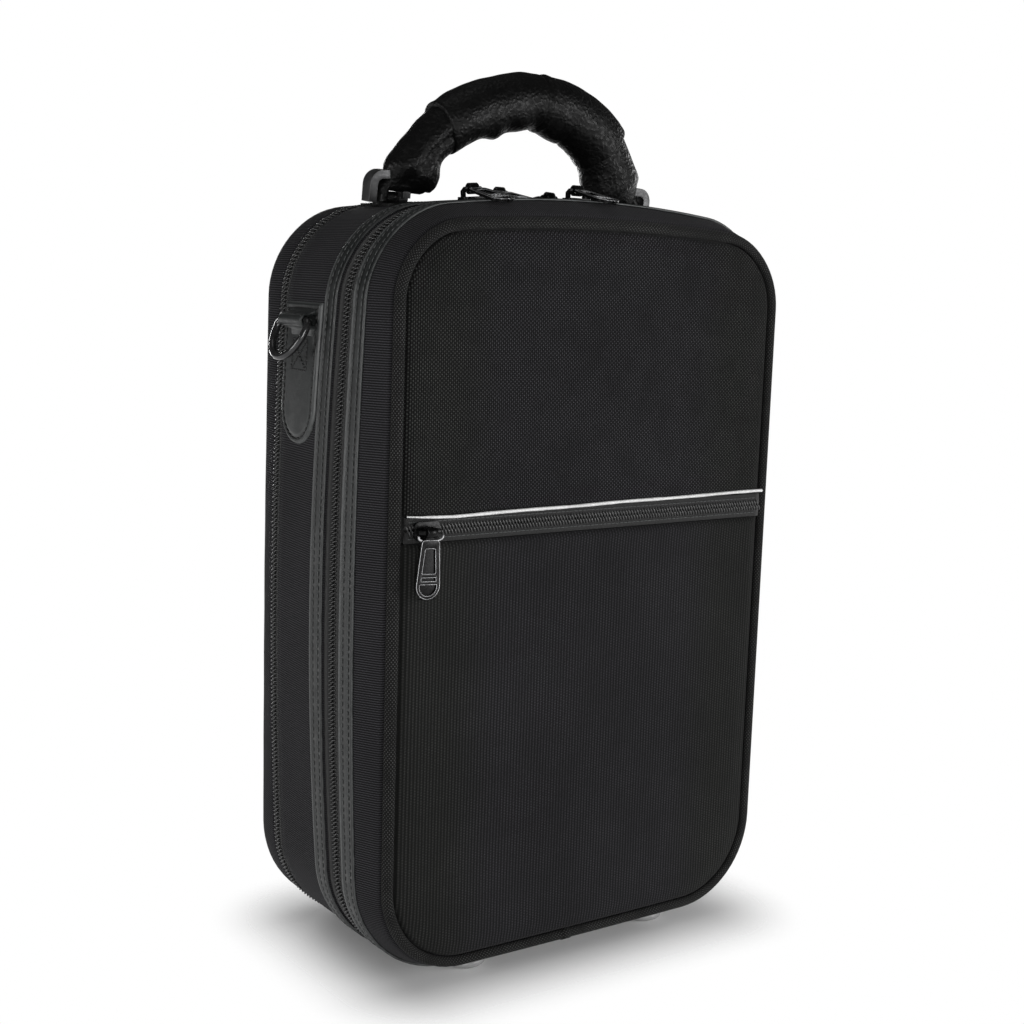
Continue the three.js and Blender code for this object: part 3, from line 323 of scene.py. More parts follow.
# The shell's band is the same vinyl as the lid's, given a darker colour as painted shade.
SHELL_TRIM_SHADED_VINYL = vinyl_material("shell_trim_vinyl", 0.0088, 0.0011)
TONGUE_VINYL = vinyl_material("tongue_vinyl", 0.0145, 0.001)
LOOP_VINYL = vinyl_material("loop_vinyl", 0.015)
LEATHER = leather_material("pebbled_leather", 0.003)
GUNMETAL = metal_material("gunmetal", 0.007, 0.28)
# Pale metal for thin tubes along the pull edges and over the pocket slider: a painted highlight on dark
# metal.
EDGE_HIGHLIGHT_METAL = metal_material("edge_highlight_metal", 0.3, 0.35)
RING_METAL = metal_material("satin_ring_metal", 0.06, 0.4)
WIRE_METAL = metal_material("polished_wire", 0.05, 0.16)
TAPE = tape_material("zip_tape", 0.0042)
COIL = plain_material("coil_nylon", 0.011, 0.26, 700.0, 0.0001, 0.35, specular_ior_level=0.6)
PALE_COIL = plain_material("pale_coil_nylon", 0.035, 0.3, 700.0, 0.0001, 0.4, specular_ior_level=0.6)
THREAD = plain_material("thread", 0.045, 0.6, 3000.0, 0.0001, 0.3, (0.95, 1.0, 1.0))
DARK_THREAD = plain_material("dark_thread", 0.002, 0.6, 3000.0, 0.0001, 0.3)
PLUSH = plain_material("plush", 0.03, 0.93, 1400.0, 0.0008, 0.5, (0.95, 0.97, 1.08), sheen_weight=0.35,
                       sheen_roughness=0.4)
LINING = plain_material("board_lining", 0.022, 0.9, 1800.0, 0.0003, 0.3)
CORD = plain_material("silver_cord", 0.6, 0.35, 900.0, 0.0002, 0.2)
FOOT = plain_material("foot_plastic", 0.22, 0.4, 260.0, 0.0001, 0.12, specular_ior_level=0.5)

# Outline of the body, as in the solids but with closer steps

# Depth, growth of the outline, bow of the sides, crown of the top and of the bottom
STATIONS = [
    (0.0, 0.0, 0.0, FRONT_TOP_CROWN, FRONT_BOTTOM_CROWN),
    (LID_EDGE - TRIM_WIDTH, GROWTH, LID_BOW, TOP_CROWN, BOTTOM_CROWN),
    (PARTING, GROWTH, PARTING_BOW, TOP_CROWN, BOTTOM_CROWN),
    (SHELL_EDGE + TRIM_WIDTH, GROWTH, SHELL_BOW, TOP_CROWN, BOTTOM_CROWN),
    (REAR_PARTING, BACK_GROWTH, REAR_BOW, TOP_CROWN, BOTTOM_CROWN),
    (DEPTH, BACK_GROWTH, 0.0, TOP_CROWN, BOTTOM_CROWN),
]
STRAIGHT_STEPS, HINGE_STEPS, CORNER_STEPS, SIDE_STEPS = 14, 12, 16, 24


def station_at(y):
    """Growth, bow and crowns of the outline at a depth."""
    return [np.interp(y, [s[0] for s in STATIONS], [s[k] for s in STATIONS]) for k in range(1, 5)]


def outline(y, inset=0.0):
    """Loop of x, z points, clockwise from the bottom middle as seen from the front."""
    growth, bow, top, bottom = station_at(y)
    hw, hh = HALF_WIDTH + growth - inset, HALF_HEIGHT + growth - inset
    low_r, high_r = BOTTOM_RADIUS + growth - inset, TOP_RADIUS + growth - inset
    low_x, low_z, high_x, high_z = hw - low_r, hh - low_r, hw - high_r, hh - high_r
    points = [(-HINGE_HALF * i / HINGE_STEPS, -hh) for i in range(HINGE_STEPS + 1)]
    points.append((-(HINGE_HALF + low_x) / 2, -hh))
    for i in range(CORNER_STEPS + 1):
        a = math.pi / 2 * i / CORNER_STEPS
        points.append((-low_x - low_r * math.sin(a), -low_z - low_r * math.cos(a)))
    points += [(-hw, -low_z + (high_z + low_z) * i / SIDE_STEPS) for i in range(1, SIDE_STEPS)]
    for i in range(CORNER_STEPS + 1):
        a = math.pi / 2 * i / CORNER_STEPS
        points.append((-high_x - high_r * math.cos(a), high_z + high_r * math.sin(a)))
    points += [(-high_x * (1 - i / STRAIGHT_STEPS), hh) for i in range(1, STRAIGHT_STEPS + 1)]
    left = np.array(points)
    loop = np.vstack([left, left[-2:0:-1] * [-1, 1]])
    x, z = loop[:, 0], loop[:, 1]
    reach = BOTTOM_RADIUS + growth
    side = np.minimum(1, abs(x) / (hw - reach)) * (1 - (z / hh) ** 2) * bow
    end = np.minimum(1, abs(z) / (hh - reach)) * (1 - (x / hw) ** 2) * np.where(z > 0, top, bottom)
    return np.stack([x + np.sign(x) * side, z + np.sign(z) * end], 1)


def side_surface(y, z):
    """Half width of the body at a depth and a height."""
    growth, bow, _, _ = station_at(y)
    return HALF_WIDTH + growth + bow * (1 - (z / (HALF_HEIGHT + growth)) ** 2)


def top_surface(x, y):
    """Height of the body's top."""
    growth, _, top, _ = station_at(y)
    return HALF_HEIGHT + growth + top * (1 - (x / (HALF_WIDTH + growth)) ** 2)


LOOP_COUNT = len(outline(0.0))

# Making pieces


def linked(name, data):
    """A new object in the scene."""
    made = bpy.data.objects.new(name, data)
    bpy.context.collection.objects.link(made)
    return made


def make(name, shape, material, body, uv=None, replaces=(), slot=None):
    """A mesh object from a shape: points in millimetres in the outline's frame, and faces."""
    points, faces = shape
    mesh = bpy.data.meshes.new(name)
    mesh.from_pydata(((np.asarray(points) + SHIFT) * MM).tolist(), [], [list(map(int, f)) for f in faces])
    if uv is not None:
        layer = mesh.uv_layers.new(name="weave")
        corners = np.empty(len(mesh.loops), dtype=np.int64)
        mesh.loops.foreach_get("vertex_index", corners)
        layer.data.foreach_set("uv", (np.asarray(uv)[corners] * MM).ravel())
    mesh.validate()
    return dress(linked(name, mesh), material, body, replaces)


def dress(made, material, body, replaces):
    made.data.materials.clear()
    made.data.materials.append(material)
    made.data.polygons.foreach_set("use_smooth", [True] * len(made.data.polygons))
    if body:
        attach(made, body)
    if replaces:
        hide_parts(*replaces)
    return made


def outward(points, faces):
    """A shape with its faces turned so that the closed surface encloses a positive volume."""
    p = np.asarray(points)
    corners = np.array([(f[0], f[i], f[i + 1]) for f in faces for i in range(1, len(f) - 1)])
    a, b, c = (p[corners[:, k]] for k in range(3))
    volume = (a * np.cross(b, c)).sum()
    return p, faces if volume > 0 else [f[::-1] for f in faces]


def grid_faces(rows, count, closed_rows, closed_count):
    """Quads of a grid of rows of points, closed either way or open."""
    faces = []
    for i in range(rows if closed_rows else rows - 1):
        for k in range(count if closed_count else count - 1):
            a, b = i * count + k, i * count + (k + 1) % count
            c, d = ((i + 1) % rows) * count + (k + 1) % count, ((i + 1) % rows) * count + k
            faces.append((a, b, c, d))
    return faces


def lofted(points, rows, count):
    """A shape from rows of closed sections, with flat ends."""
    faces = grid_faces(rows, count, False, True)
    faces += [list(range(count))[::-1], [(rows - 1) * count + k for k in range(count)]]
    return outward(points, faces)


def swept(points, rows, count):
    """A shape from the lines of a closed section that is carried along a path, with flat ends."""
    faces = grid_faces(rows, count, True, False)
    faces += [[i * count for i in range(rows)], [i * count + count - 1 for i in range(rows)][::-1]]
    return outward(points, faces)


def travelled(loop, closed=True):
    """Length gone at each point of a line, and at the end of a closed one."""
    steps = np.linalg.norm(np.diff(np.vstack([loop, loop[:1]]) if closed else loop, axis=0), axis=1)
    return np.concatenate([[0], np.cumsum(steps)])


def wobble(points, size, scale, seed=0.0):
    """A smooth, repeatable unevenness for cloth and leather."""
    p = np.asarray(points) / scale
    a = np.sin(p[:, 0] * 1.7 + p[:, 2] * 2.3 + seed) * np.cos(p[:, 1] * 1.9 - p[:, 2] * 1.1 + 2 * seed)
    b = np.sin(p[:, 0] * 4.1 - p[:, 1] * 3.3 + 3 * seed) * np.cos(p[:, 2] * 3.7 + seed)
    return size * (0.7 * a + 0.3 * b)


def ring(name, profile, material, body, span=None, uneven=0.0, **extra):
    """A closed section of (y, inset) points carried round the outline, or over part of it."""
    loops = [outline(y, inset) for y, inset in profile]
    order = np.arange(LOOP_COUNT) if span is None else np.arange(span[0], span[1] + 1) % LOOP_COUNT
    path = travelled(outline(PARTING)[order], span is None)[: len(order)]
    across = travelled(np.array(profile, float))[: len(profile)]
    points, uv = [], []
    for (y, inset), loop, v in zip(profile, loops, across):
        part = loop[order]
        points.append(np.column_stack([part[:, 0], np.full(len(part), y), part[:, 1]]))
        uv.append(np.column_stack([path, np.full(len(part), v)]))
    points, uv = np.vstack(points), np.vstack(uv)
    if uneven:
        centre = np.array([0, 60, 0])
        away = points - centre
        away[:, 1] = 0
        away /= np.linalg.norm(away, axis=1)[:, None]
        points = points + away * wobble(points, uneven, 23.0)[:, None]
    if span is None:
        shape = outward(points, grid_faces(len(profile), len(order), True, True))
    else:
        shape = swept(points, len(profile), len(order))
    return make(name, shape, material, body, uv, **extra)


def arc(centre, radius, start, stop, steps):
    """Section points (y, inset) on an arc; angles in degrees, 90 is outwards."""
    angles = np.radians(np.linspace(start, stop, steps + 1))
    return [(centre[0] + radius * math.cos(a), centre[1] - radius * math.sin(a)) for a in angles]


def tube(points, radii, sides=8, closed=False, flat=1.0):
    """Points and faces of a round bar along a path, with rounded ends if it is open."""
    path = np.asarray(points, float)
    radii = np.broadcast_to(np.asarray(radii, float), len(path))
    if closed:
        tangents = np.roll(path, -1, 0) - np.roll(path, 1, 0)
    else:
        tangents = np.gradient(path, axis=0)
    tangents /= np.linalg.norm(tangents, axis=1)[:, None]
    guide = np.array([0, 0, 1.0]) if abs(tangents[0, 2]) < 0.9 else np.array([0, 1.0, 0])
    first = np.cross(tangents[0], guide)
    rows, last = [], first / np.linalg.norm(first)
    for centre, tangent, radius in zip(path, tangents, radii):
        last = last - tangent * np.dot(last, tangent)
        last /= np.linalg.norm(last)
        side = np.cross(tangent, last)
        angles = np.arange(sides) * 2 * math.pi / sides
        rows.append(centre + radius * (
            np.outer(np.cos(angles), last) + flat * np.outer(np.sin(angles), side)))
    made = np.vstack(rows)
    faces = grid_faces(len(path), sides, closed, True)
    if not closed:
        base, end = len(made), (len(path) - 1) * sides
        made = np.vstack([
            made, path[0] - tangents[0] * radii[0] * 0.6, path[-1] + tangents[-1] * radii[-1] * 0.6,
        ])
        faces += [((k + 1) % sides, k, base) for k in range(sides)]
        faces += [(end + k, end + (k + 1) % sides, base + 1) for k in range(sides)]
    return outward(made, faces)


def merged(parts):
    """Several shapes as one."""
    points, faces, base = [], [], 0
    for p, f in parts:
        points.append(p)
        faces += [[base + i for i in face] for face in f]
        base += len(p)
    return np.vstack(points), faces


def copies(proto, frames):
    """One shape with a copy of proto in each (origin, 3x3 axes as rows) frame."""
    points, faces = proto
    return merged([(origin + points @ axes, faces) for origin, axes in frames])


def frames_along(y, inset, pitch, offset=0.0, gap=None):
    """Frames at even steps round the outline: local x along the path, y in depth, z outwards."""
    loop = outline(y, inset)
    closed = np.vstack([loop, loop[:1]])
    path = travelled(loop)
    count = int(path[-1] / pitch)
    made = []
    for i in range(count):
        s = (i + offset) * path[-1] / count
        k = min(np.searchsorted(path, s, "right") - 1, len(loop) - 1)
        share = (s - path[k]) / (path[k + 1] - path[k])
        at = closed[k] * (1 - share) + closed[k + 1] * share
        if gap and abs(at[0]) < gap and at[1] < 0:
            continue
        t = closed[k + 1] - closed[k]
        t /= np.linalg.norm(t)
        axes = np.array([[t[0], 0, t[1]], [0, 1, 0], [-t[1], 0, t[0]]])
        made.append((np.array([at[0], y, at[1]]), axes))
    return made


# One stitch along x, with its ends sunk in the cloth
STITCH = tube([(-1.15, 0, -0.1), (-0.7, 0, 0.12), (0.7, 0, 0.12), (1.15, 0, -0.1)], [0.2, 0.27, 0.27, 0.2], 6)


def stitch_row(name, y, inset, body, pitch=3.3):
    make(name, copies(STITCH, frames_along(y, inset, pitch)), THREAD, body)


def tooth(side, length, reach, radius):
    """One turn of a coil zip, slanting over the middle of the zip."""
    path = [
        (-0.9, length, -0.35), (-0.65, length * 0.72, 0.45), (-0.1, length * 0.3, 0.66), (0.3, -reach, 0.1),
    ]
    return tube([(side * x, side * y, z) for x, y, z in path],
                [radius * 0.9, radius, radius * 1.05, radius * 0.85], 6)


# Walls, piping, trims


def wall(front, back, thick, puff=0.5, steps=6):
    """Section of a padded cloth wall between two depths, with soft edges."""
    shares = np.linspace(0, 1, steps + 1)
    outer = [(front + (back - front) * s, -puff * math.sin(math.pi * s)) for s in shares]
    outer[0], outer[-1] = (front, 0.55), (back, 0.55)
    outer.insert(1, (front + 0.5, 0.0))
    outer.insert(-1, (back - 0.5, 0.0))
    return outer + [(back, thick), (front, thick)]


ring("lid_side_cloth", wall(3.1, LID_EDGE - SEAM_GAP, WALL_THICK, 0.35), SIDE_CLOTH, "lid", uneven=0.12,
     replaces=["lid_gusset"], slot="fabric")
ring("shell_side_cloth", wall(SHELL_EDGE + SEAM_GAP, REAR_EDGE - SEAM_GAP, WALL_THICK, 0.08, 10), SIDE_CLOTH,
     "shell", uneven=0.07, replaces=["shell_gusset"], slot="fabric")

back_centre = (DEPTH - BACK_ROUND, BACK_ROUND)
back_section = [(COVER_EDGE + SEAM_GAP, 0.5), (COVER_EDGE + 0.9, 0.0)] + arc(
    back_centre, BACK_ROUND, 90, 0, 8)
back_section += arc(back_centre, BACK_ROUND - 4, 0, 90, 4) + [(COVER_EDGE + SEAM_GAP, 4.0)]
ring("back_cover_cloth", back_section, SIDE_CLOTH, "back_cover", uneven=0.1, replaces=["back_band"],
     slot="fabric")

ring("front_piping_cloth", arc(PIPING_CENTRE, PIPING_RADIUS, 0, 337.5, 15), BINDING, "lid",
     replaces=["front_piping"], slot="fabric")
ring("piping_join", arc(PIPING_CENTRE, PIPING_RADIUS + 0.35, 0, 337.5, 15), BINDING, "lid", span=(1, 2),
     slot="fabric")


TRIM_SECTION = [
    (0.0, -0.35), (0.05, -0.9), (0.45, -1.3), (1.1, -1.32), (1.7, -1.05), (2.4, -0.98), (2.9, -0.9),
    (3.4, -1.02), (5.0, -1.1), (6.6, -1.02),
    (7.1, -0.9), (7.6, -0.98), (8.3, -1.05), (8.9, -1.32), (9.55, -1.3), (9.95, -0.9), (10.0, -0.35),
]
STITCH_DEPTHS = (2.9, 7.1)


def trim_section(front):
    """A vinyl band: a rolled bead at each edge and two stitched furrows."""
    return [(front + y, inset) for y, inset in TRIM_SECTION]


for label, front, vinyl in (
    ("lid", LID_EDGE - TRIM_WIDTH, TRIM_VINYL),
    ("shell", SHELL_EDGE, SHELL_TRIM_SHADED_VINYL),
):
    ring(f"{label}_trim_vinyl", trim_section(front), vinyl, label, replaces=[f"{label}_trim"], slot="vinyl")
    for k, across in enumerate(STITCH_DEPTHS):
        stitch_row(f"{label}_trim_stitches_{k + 1}", front + across, -0.98, label)

# Zips round the body


COIL_PITCH, COIL_RADIUS = 1.95, 0.42


def zip_row(name, parting, half, side, body, node):
    """One tape with its coil; the tape stops at the hinge strip."""
    near, far = parting + side * 0.6, parting + side * (half - SEAM_GAP)
    section = [(near, 1.7), (near, 0.75), (parting + side * 3.1, 0.7), (parting + side * 3.5, 0.45)]
    section += [(far, 0.5), (far, 1.7)]
    loop = outline(parting)
    inside = [i for i in range(LOOP_COUNT) if not (abs(loop[i][0]) < HINGE_HALF and loop[i][1] < 0)]
    ring(f"{name}_tape", section, TAPE, body, span=(inside[0], inside[-1]), replaces=[node], slot="zip")
    proto = tooth(side, 2.6, 0.45, COIL_RADIUS)
    offset = 0.25 if side > 0 else 0.75
    turns = copies(proto, frames_along(parting, 0.4, COIL_PITCH, offset, gap=HINGE_HALF + 1))
    make(f"{name}_coil", turns, COIL, body, slot="zip")


zip_row("main_lid", PARTING, ZIP_HALF, -1, "lid", "lid_zip_stringer")
zip_row("main_shell", PARTING, ZIP_HALF, 1, "shell", "shell_zip_stringer")
zip_row("rear_shell", REAR_PARTING, REAR_ZIP_HALF, -1, "shell", "rear_zip_shell_stringer")
zip_row("rear_cover", REAR_PARTING, REAR_ZIP_HALF, 1, "back_cover", "rear_zip_cover_stringer")

# Padded pieces

HALF_COUNT = LOOP_COUNT // 2
LOW_CORNER = STRAIGHT_STEPS + CORNER_STEPS // 2
HIGH_CORNER = HALF_COUNT - STRAIGHT_STEPS - CORNER_STEPS // 2


def resampled(line, count):
    line = np.asarray(line, float)
    path = travelled(line, False)
    at = np.linspace(0, path[-1], count)
    return np.stack([np.interp(at, path, line[:, k]) for k in range(line.shape[1])], 1)


def coons(bottom, top, left, right):
    """Grid of points between four border lines: rows go up, columns go right."""
    n, m = len(bottom), len(left)
    s, t = np.linspace(0, 1, n)[None, :, None], np.linspace(0, 1, m)[:, None, None]
    ends = (1 - s) * left[:, None] + s * right[:, None]
    levels = (1 - t) * bottom[None] + t * top[None]
    low = (1 - s) * bottom[0] + s * bottom[-1]
    high = (1 - s) * top[0] + s * top[-1]
    return ends + levels - ((1 - t) * low + t * high)


def face_grid(y, inset, low, high, columns, rows):
    """Grid over the face inside the outline, between two heights if they are given."""
    loop = outline(y, inset)
    side = loop[LOW_CORNER:HIGH_CORNER + 1]
    low_line = np.vstack([loop[LOW_CORNER::-1], loop[:-LOW_CORNER - 1:-1]])
    high_line = loop[HIGH_CORNER:LOOP_COUNT - HIGH_CORNER + 1]

    def at_height(z):
        return np.array([np.interp(z, side[:, 1], side[:, 0]), z])

    if low is not None:
        side = np.vstack([at_height(low), side[side[:, 1] > low]])
        low_line = np.array([side[0], side[0] * [-1, 1]])
    if high is not None:
        side = np.vstack([side[side[:, 1] < high], at_height(high)])
        high_line = np.array([side[-1], side[-1] * [-1, 1]])
    left = resampled(side, rows)
    return coons(resampled(low_line, columns), resampled(high_line, columns), left, left * [-1, 1])


def distance_to(points, line):
    """Distance of each point to an open line of points."""
    a, b = line[:-1][None], line[1:][None]
    p = points.reshape(-1, 1, 2)
    span = b - a
    share = np.clip(((p - a) * span).sum(2) / np.maximum((span ** 2).sum(2), 1e-9), 0, 1)
    return np.linalg.norm(p - a - span * share[..., None], axis=2).min(1).reshape(points.shape[:-1])


def border(rows, columns):
    """Indices round the edge of a grid, in order."""
    first = [k for k in range(columns)]
    right = [i * columns + columns - 1 for i in range(1, rows)]
    last = [(rows - 1) * columns + k for k in range(columns - 2, -1, -1)]
    return first + right + last + [i * columns for i in range(rows - 2, 0, -1)]


def closed_sheet(front, back_edge, back_centre):
    """A grid of points closed behind by a wall to back_edge and a fan, which turn_outward() turns round."""
    rows, columns = front.shape[:2]
    rim = border(rows, columns)
    points = np.vstack([front.reshape(-1, 3), back_edge, back_centre])
    base, count = rows * columns, len(rim)
    faces = grid_faces(rows, columns, False, False)
    for k in range(count):
        after = (k + 1) % count
        faces.append((rim[after], base + after, base + k, rim[k]))
        faces.append((base + after, base + count, base + k))
    return outward(points, faces)


# Padded pieces for the cloth step: object, free vertices, pressure and the most they may move
SOFT = []


def turn_outward(piece):
    """Turn all faces of a closed piece outwards; its shape stays."""
    edited = bmesh.new()
    edited.from_mesh(piece.data)
    bmesh.ops.recalc_face_normals(edited, faces=edited.faces)
    edited.to_mesh(piece.data)
    edited.free()


def pad(name, grid, depth_at, back, material, body, replaces, pressure, cap, slot="fabric"):
    """A padded face: a grid at depth_at(grid), with a flat back, to be settled as cloth."""
    rows, columns = grid.shape[:2]
    flat = grid.reshape(-1, 2)
    rim = border(rows, columns)
    y = depth_at(grid)
    front = np.dstack([grid[..., 0], y, grid[..., 1]])
    edge = np.column_stack([flat[rim][:, 0], np.full(len(rim), back), flat[rim][:, 1]])
    centre = np.array([[0, back, (grid[..., 1].min() + grid[..., 1].max()) / 2]])
    piece = make(name, closed_sheet(front, edge, centre), material, body, replaces=replaces, slot=slot)
    free = [i * columns + k for i in range(2, rows - 2) for k in range(2, columns - 2)]
    SOFT.append((piece, free, pressure, cap))


def roll(distance, width, power):
    """A rounded edge: 0 at no distance, 1 from width on."""
    return 1 - (1 - np.clip(distance / width, 0, 1)) ** power


def front_depth(cut_height, above):
    def depth(grid):
        rim = outline(0, BOARD_INSET)
        d = distance_to(grid, np.vstack([rim, rim[:1]]))
        shape = -PANEL_CROWN * roll(d, 13.0, 3.4)
        to_cut = (grid[..., 1] - cut_height) if above else (cut_height - grid[..., 1])
        shape = shape * (0.55 + 0.45 * roll(to_cut, 2.4, 2.5))
        inner = np.dstack([grid[..., 0], np.zeros(grid.shape[:2]), grid[..., 1]]).reshape(-1, 3)
        calm = roll(np.minimum(d, to_cut), 12.0, 1.5)
        return shape + calm * wobble(inner, 0.22, 31.0, 1.0).reshape(grid.shape[:2])
    return depth


PANEL_BACK = 4.0
upper_cut = POCKET_ZIP_Z + POCKET_ZIP_HALF + SEAM_GAP
lower_cut = POCKET_ZIP_Z - POCKET_ZIP_HALF - SEAM_GAP
pad("upper_panel_cloth", face_grid(0, BOARD_INSET, upper_cut, None, 96, 66), front_depth(upper_cut, True),
    PANEL_BACK, PANEL_CLOTH, "lid", ["front_upper_panel"], pressure=3.0, cap=0.9)
pad("pocket_panel_cloth", face_grid(0, BOARD_INSET, None, lower_cut, 96, 88), front_depth(lower_cut, False),
    PANEL_BACK, POCKET_CLOTH, "lid", ["front_pocket_panel"], pressure=2.0, cap=0.9)


BACK_INSET = BACK_ROUND + SEAM_GAP


def back_depth(grid):
    rim = outline(DEPTH, BACK_INSET)
    d = distance_to(grid, np.vstack([rim, rim[:1]]))
    channel = 0.7 * np.exp(-((d - 17.0) / 1.5) ** 2)
    return DEPTH - 1.1 + 2.9 * roll(d, 12.0, 2.6) - channel


pad("back_panel_cloth", face_grid(DEPTH, BACK_INSET, None, None, 70, 100), back_depth, DEPTH - 6.2,
    PANEL_CLOTH, "back_cover", ["back_panel"], pressure=3.0, cap=0.9)

LID_PAD_Y, LID_PAD_INSET = 12, 5.6
# The bell well, which the pad keeps clear of
BELL_X, BELL_Y, BELL_HEIGHTS, BELL_RADII = 47, 46.3, [58, 160], [19, 36.5]


def lid_pad_depth(grid):
    rim = outline(LID_PAD_Y, LID_PAD_INSET)
    d = distance_to(grid, np.vstack([rim, rim[:1]]))
    y = 10.4 + 4.7 * roll(d, 6.0, 2.2) + 1.5 * roll(d, 26.0, 1.6)
    x, z = grid[..., 0], grid[..., 1]
    reach = np.interp(z, BELL_HEIGHTS, BELL_RADII) + 0.6
    hollow = BELL_Y - np.sqrt(np.maximum(reach ** 2 - (x - BELL_X) ** 2, 0))
    inside = (z > BELL_HEIGHTS[0]) & (z < BELL_HEIGHTS[1] + 0.5)
    return np.where(inside, np.minimum(y, np.maximum(hollow, 9.0)), y)


pad("lid_lining_pad", face_grid(LID_PAD_Y, LID_PAD_INSET, None, None, 70, 104), lid_pad_depth, 8.1,
    PLUSH, "lid", ["lid_pad"], pressure=2.0, cap=0.5, slot="plush")

# The tray keeps its wells: a finer, rounded copy of its solid


def copied(name, node, material, body, change):
    """A copy of a node's mesh in a new object, changed and then shown instead of the node."""
    made = linked(name, bpy.data.objects[node].data.copy())
    change(made)
    settle(made)
    return dress(made, material, body, [node])


def settle(piece):
    """Apply every modifier on a piece."""
    bpy.context.view_layer.update()
    shape = bpy.data.meshes.new_from_object(piece.evaluated_get(bpy.context.evaluated_depsgraph_get()))
    piece.modifiers.clear()
    piece.data = shape


def weld(piece):
    edited = bmesh.new()
    edited.from_mesh(piece.data)
    bmesh.ops.remove_doubles(edited, verts=edited.verts, dist=2e-6)
    edited.to_mesh(piece.data)
    edited.free()


def bevelled(width, segments=2, angle=32):
    def change(piece):
        weld(piece)
        bevel = piece.modifiers.new("edge", "BEVEL")
        bevel.width, bevel.segments, bevel.limit_method = width * MM, segments, "ANGLE"
        bevel.angle_limit = math.radians(angle)
        normals = piece.modifiers.new("normals", "WEIGHTED_NORMAL")
        normals.keep_sharp = True
    return change


def foamed(piece):
    weld(piece)
    remesh = piece.modifiers.new("voxels", "REMESH")
    remesh.mode, remesh.voxel_size = "VOXEL", 2.4 * MM
    smooth = piece.modifiers.new("soft", "SMOOTH")
    smooth.factor, smooth.iterations = 0.5, 3


tray = copied("tray_foam", "instrument_tray", PLUSH, "shell", foamed)
copied("front_board_cut", "lid_front_board", LINING, "lid", bevelled(0.5))
copied("divider_board_cut", "divider_board", LINING, "shell", bevelled(0.5))
copied("back_board_cut", "back_board", LINING, "back_cover", bevelled(0.5))


def lathed(profile, at, sides=40):
    points = [[at[0] + r * math.cos(a), at[1] + r * math.sin(a), at[2] + h]
              for r, h in profile for a in np.arange(sides) * 2 * math.pi / sides]
    return lofted(points, len(profile), sides)


FOOT_X, FOOT_FLOOR, FOOT_DEPTHS = 55.0, -178.8, {"lid": 17.0, "shell": 74.0}
FOOT_PROFILE = [
    (2.0, 0.12), (6.0, 0.0), (6.8, 0.1), (8.2, 0.5), (9.4, 1.1), (10.2, 1.9), (10.5, 2.8), (10.5, 4.6),
]
for label, side in (("left", -1), ("right", 1)):
    for part, y in FOOT_DEPTHS.items():
        make(f"{part}_foot_{label}_dome", lathed(FOOT_PROFILE, (side * FOOT_X, y, FOOT_FLOOR)), FOOT, part,
             replaces=[f"{part}_foot_{label}"], slot="foot")

# Hinge strips along the bottom

for name, front, back, bodies in (("lid_hinge_strip", LID_EDGE, SHELL_EDGE, ("lid", "shell")),
                                  ("rear_hinge_strip", REAR_EDGE, COVER_EDGE, ("shell", "back_cover"))):
    depths = np.linspace(front + SEAM_GAP, back - SEAM_GAP, 15)
    fold = 0.35 * np.cos((depths - front) / (back - front) * 6 * math.pi)
    section = [(y, 0.15 - f) for y, f in zip(depths, fold)] + [(y, 1.2) for y in depths[::-1]]
    strip = ring(f"{name}_cloth", section, BINDING, None,
                 span=(LOOP_COUNT - HINGE_STEPS, LOOP_COUNT + HINGE_STEPS), replaces=[name], slot="fabric")
    strip.data.vertices.foreach_get("co", spots := np.empty(len(strip.data.vertices) * 3))
    spots = spots.reshape(-1, 3)
    spots[:, 0] *= (HINGE_HALF - HINGE_GAP) / HINGE_HALF
    strip.data.vertices.foreach_set("co", spots.ravel())
    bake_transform(strip)

# Front pocket zip

TAPE_FACE = -1.8
POCKET_PITCH = 1.7


def straight_tape(name, side, node):
    lows = [0.6, 0.6, 3.0, 3.5, 5.4, 5.7, 5.7]
    fronts = [-0.7, TAPE_FACE - 0.1, TAPE_FACE - 0.1, TAPE_FACE, TAPE_FACE + 0.05, TAPE_FACE + 0.2, -0.7]
    xs = np.linspace(-POCKET_ZIP_LENGTH, POCKET_ZIP_LENGTH, 80)
    points, uv = [], []
    for z, y in zip(lows, fronts):
        line = np.column_stack([xs, np.full(len(xs), y), np.full(len(xs), POCKET_ZIP_Z + side * z)])
        points.append(line)
        uv.append(np.column_stack([xs + 200, np.full(len(xs), z)]))
    shape = swept(np.vstack(points), len(lows), len(xs))
    make(name, shape, TAPE, "lid", np.vstack(uv), replaces=[node], slot="zip")


for label, side in (("upper", 1), ("lower", -1)):
    straight_tape(f"pocket_{label}_tape", side, f"pocket_{label}_stringer")
    proto = tooth(side, 2.7, 0.4, 0.34)
    axes = np.array([[1.0, 0, 0], [0, 0, 1.0], [0, -1.0, 0]])
    offset = 0.0 if side > 0 else POCKET_PITCH / 2
    turns = np.arange(0.8 - POCKET_ZIP_LENGTH, POCKET_ZIP_LENGTH - 1.2, POCKET_PITCH)
    spots = [(np.array([x + offset, TAPE_FACE - 0.25, POCKET_ZIP_Z]), axes) for x in turns]
    make(f"pocket_{label}_coil", copies(proto, spots), PALE_COIL, "lid", slot="zip")
    line = [(np.array([x, TAPE_FACE - 0.05, POCKET_ZIP_Z + side * 3.7]), axes)
            for x in np.arange(-102, 102, 2.5)]
    make(f"pocket_{label}_stitches", copies(STITCH, line), THREAD, "lid")

xs = np.linspace(-POCKET_ZIP_LENGTH, POCKET_ZIP_LENGTH, 160)
thin = 1 - 0.5 * np.exp(-((xs + POCKET_ZIP_LENGTH) / 14.0) ** 2)
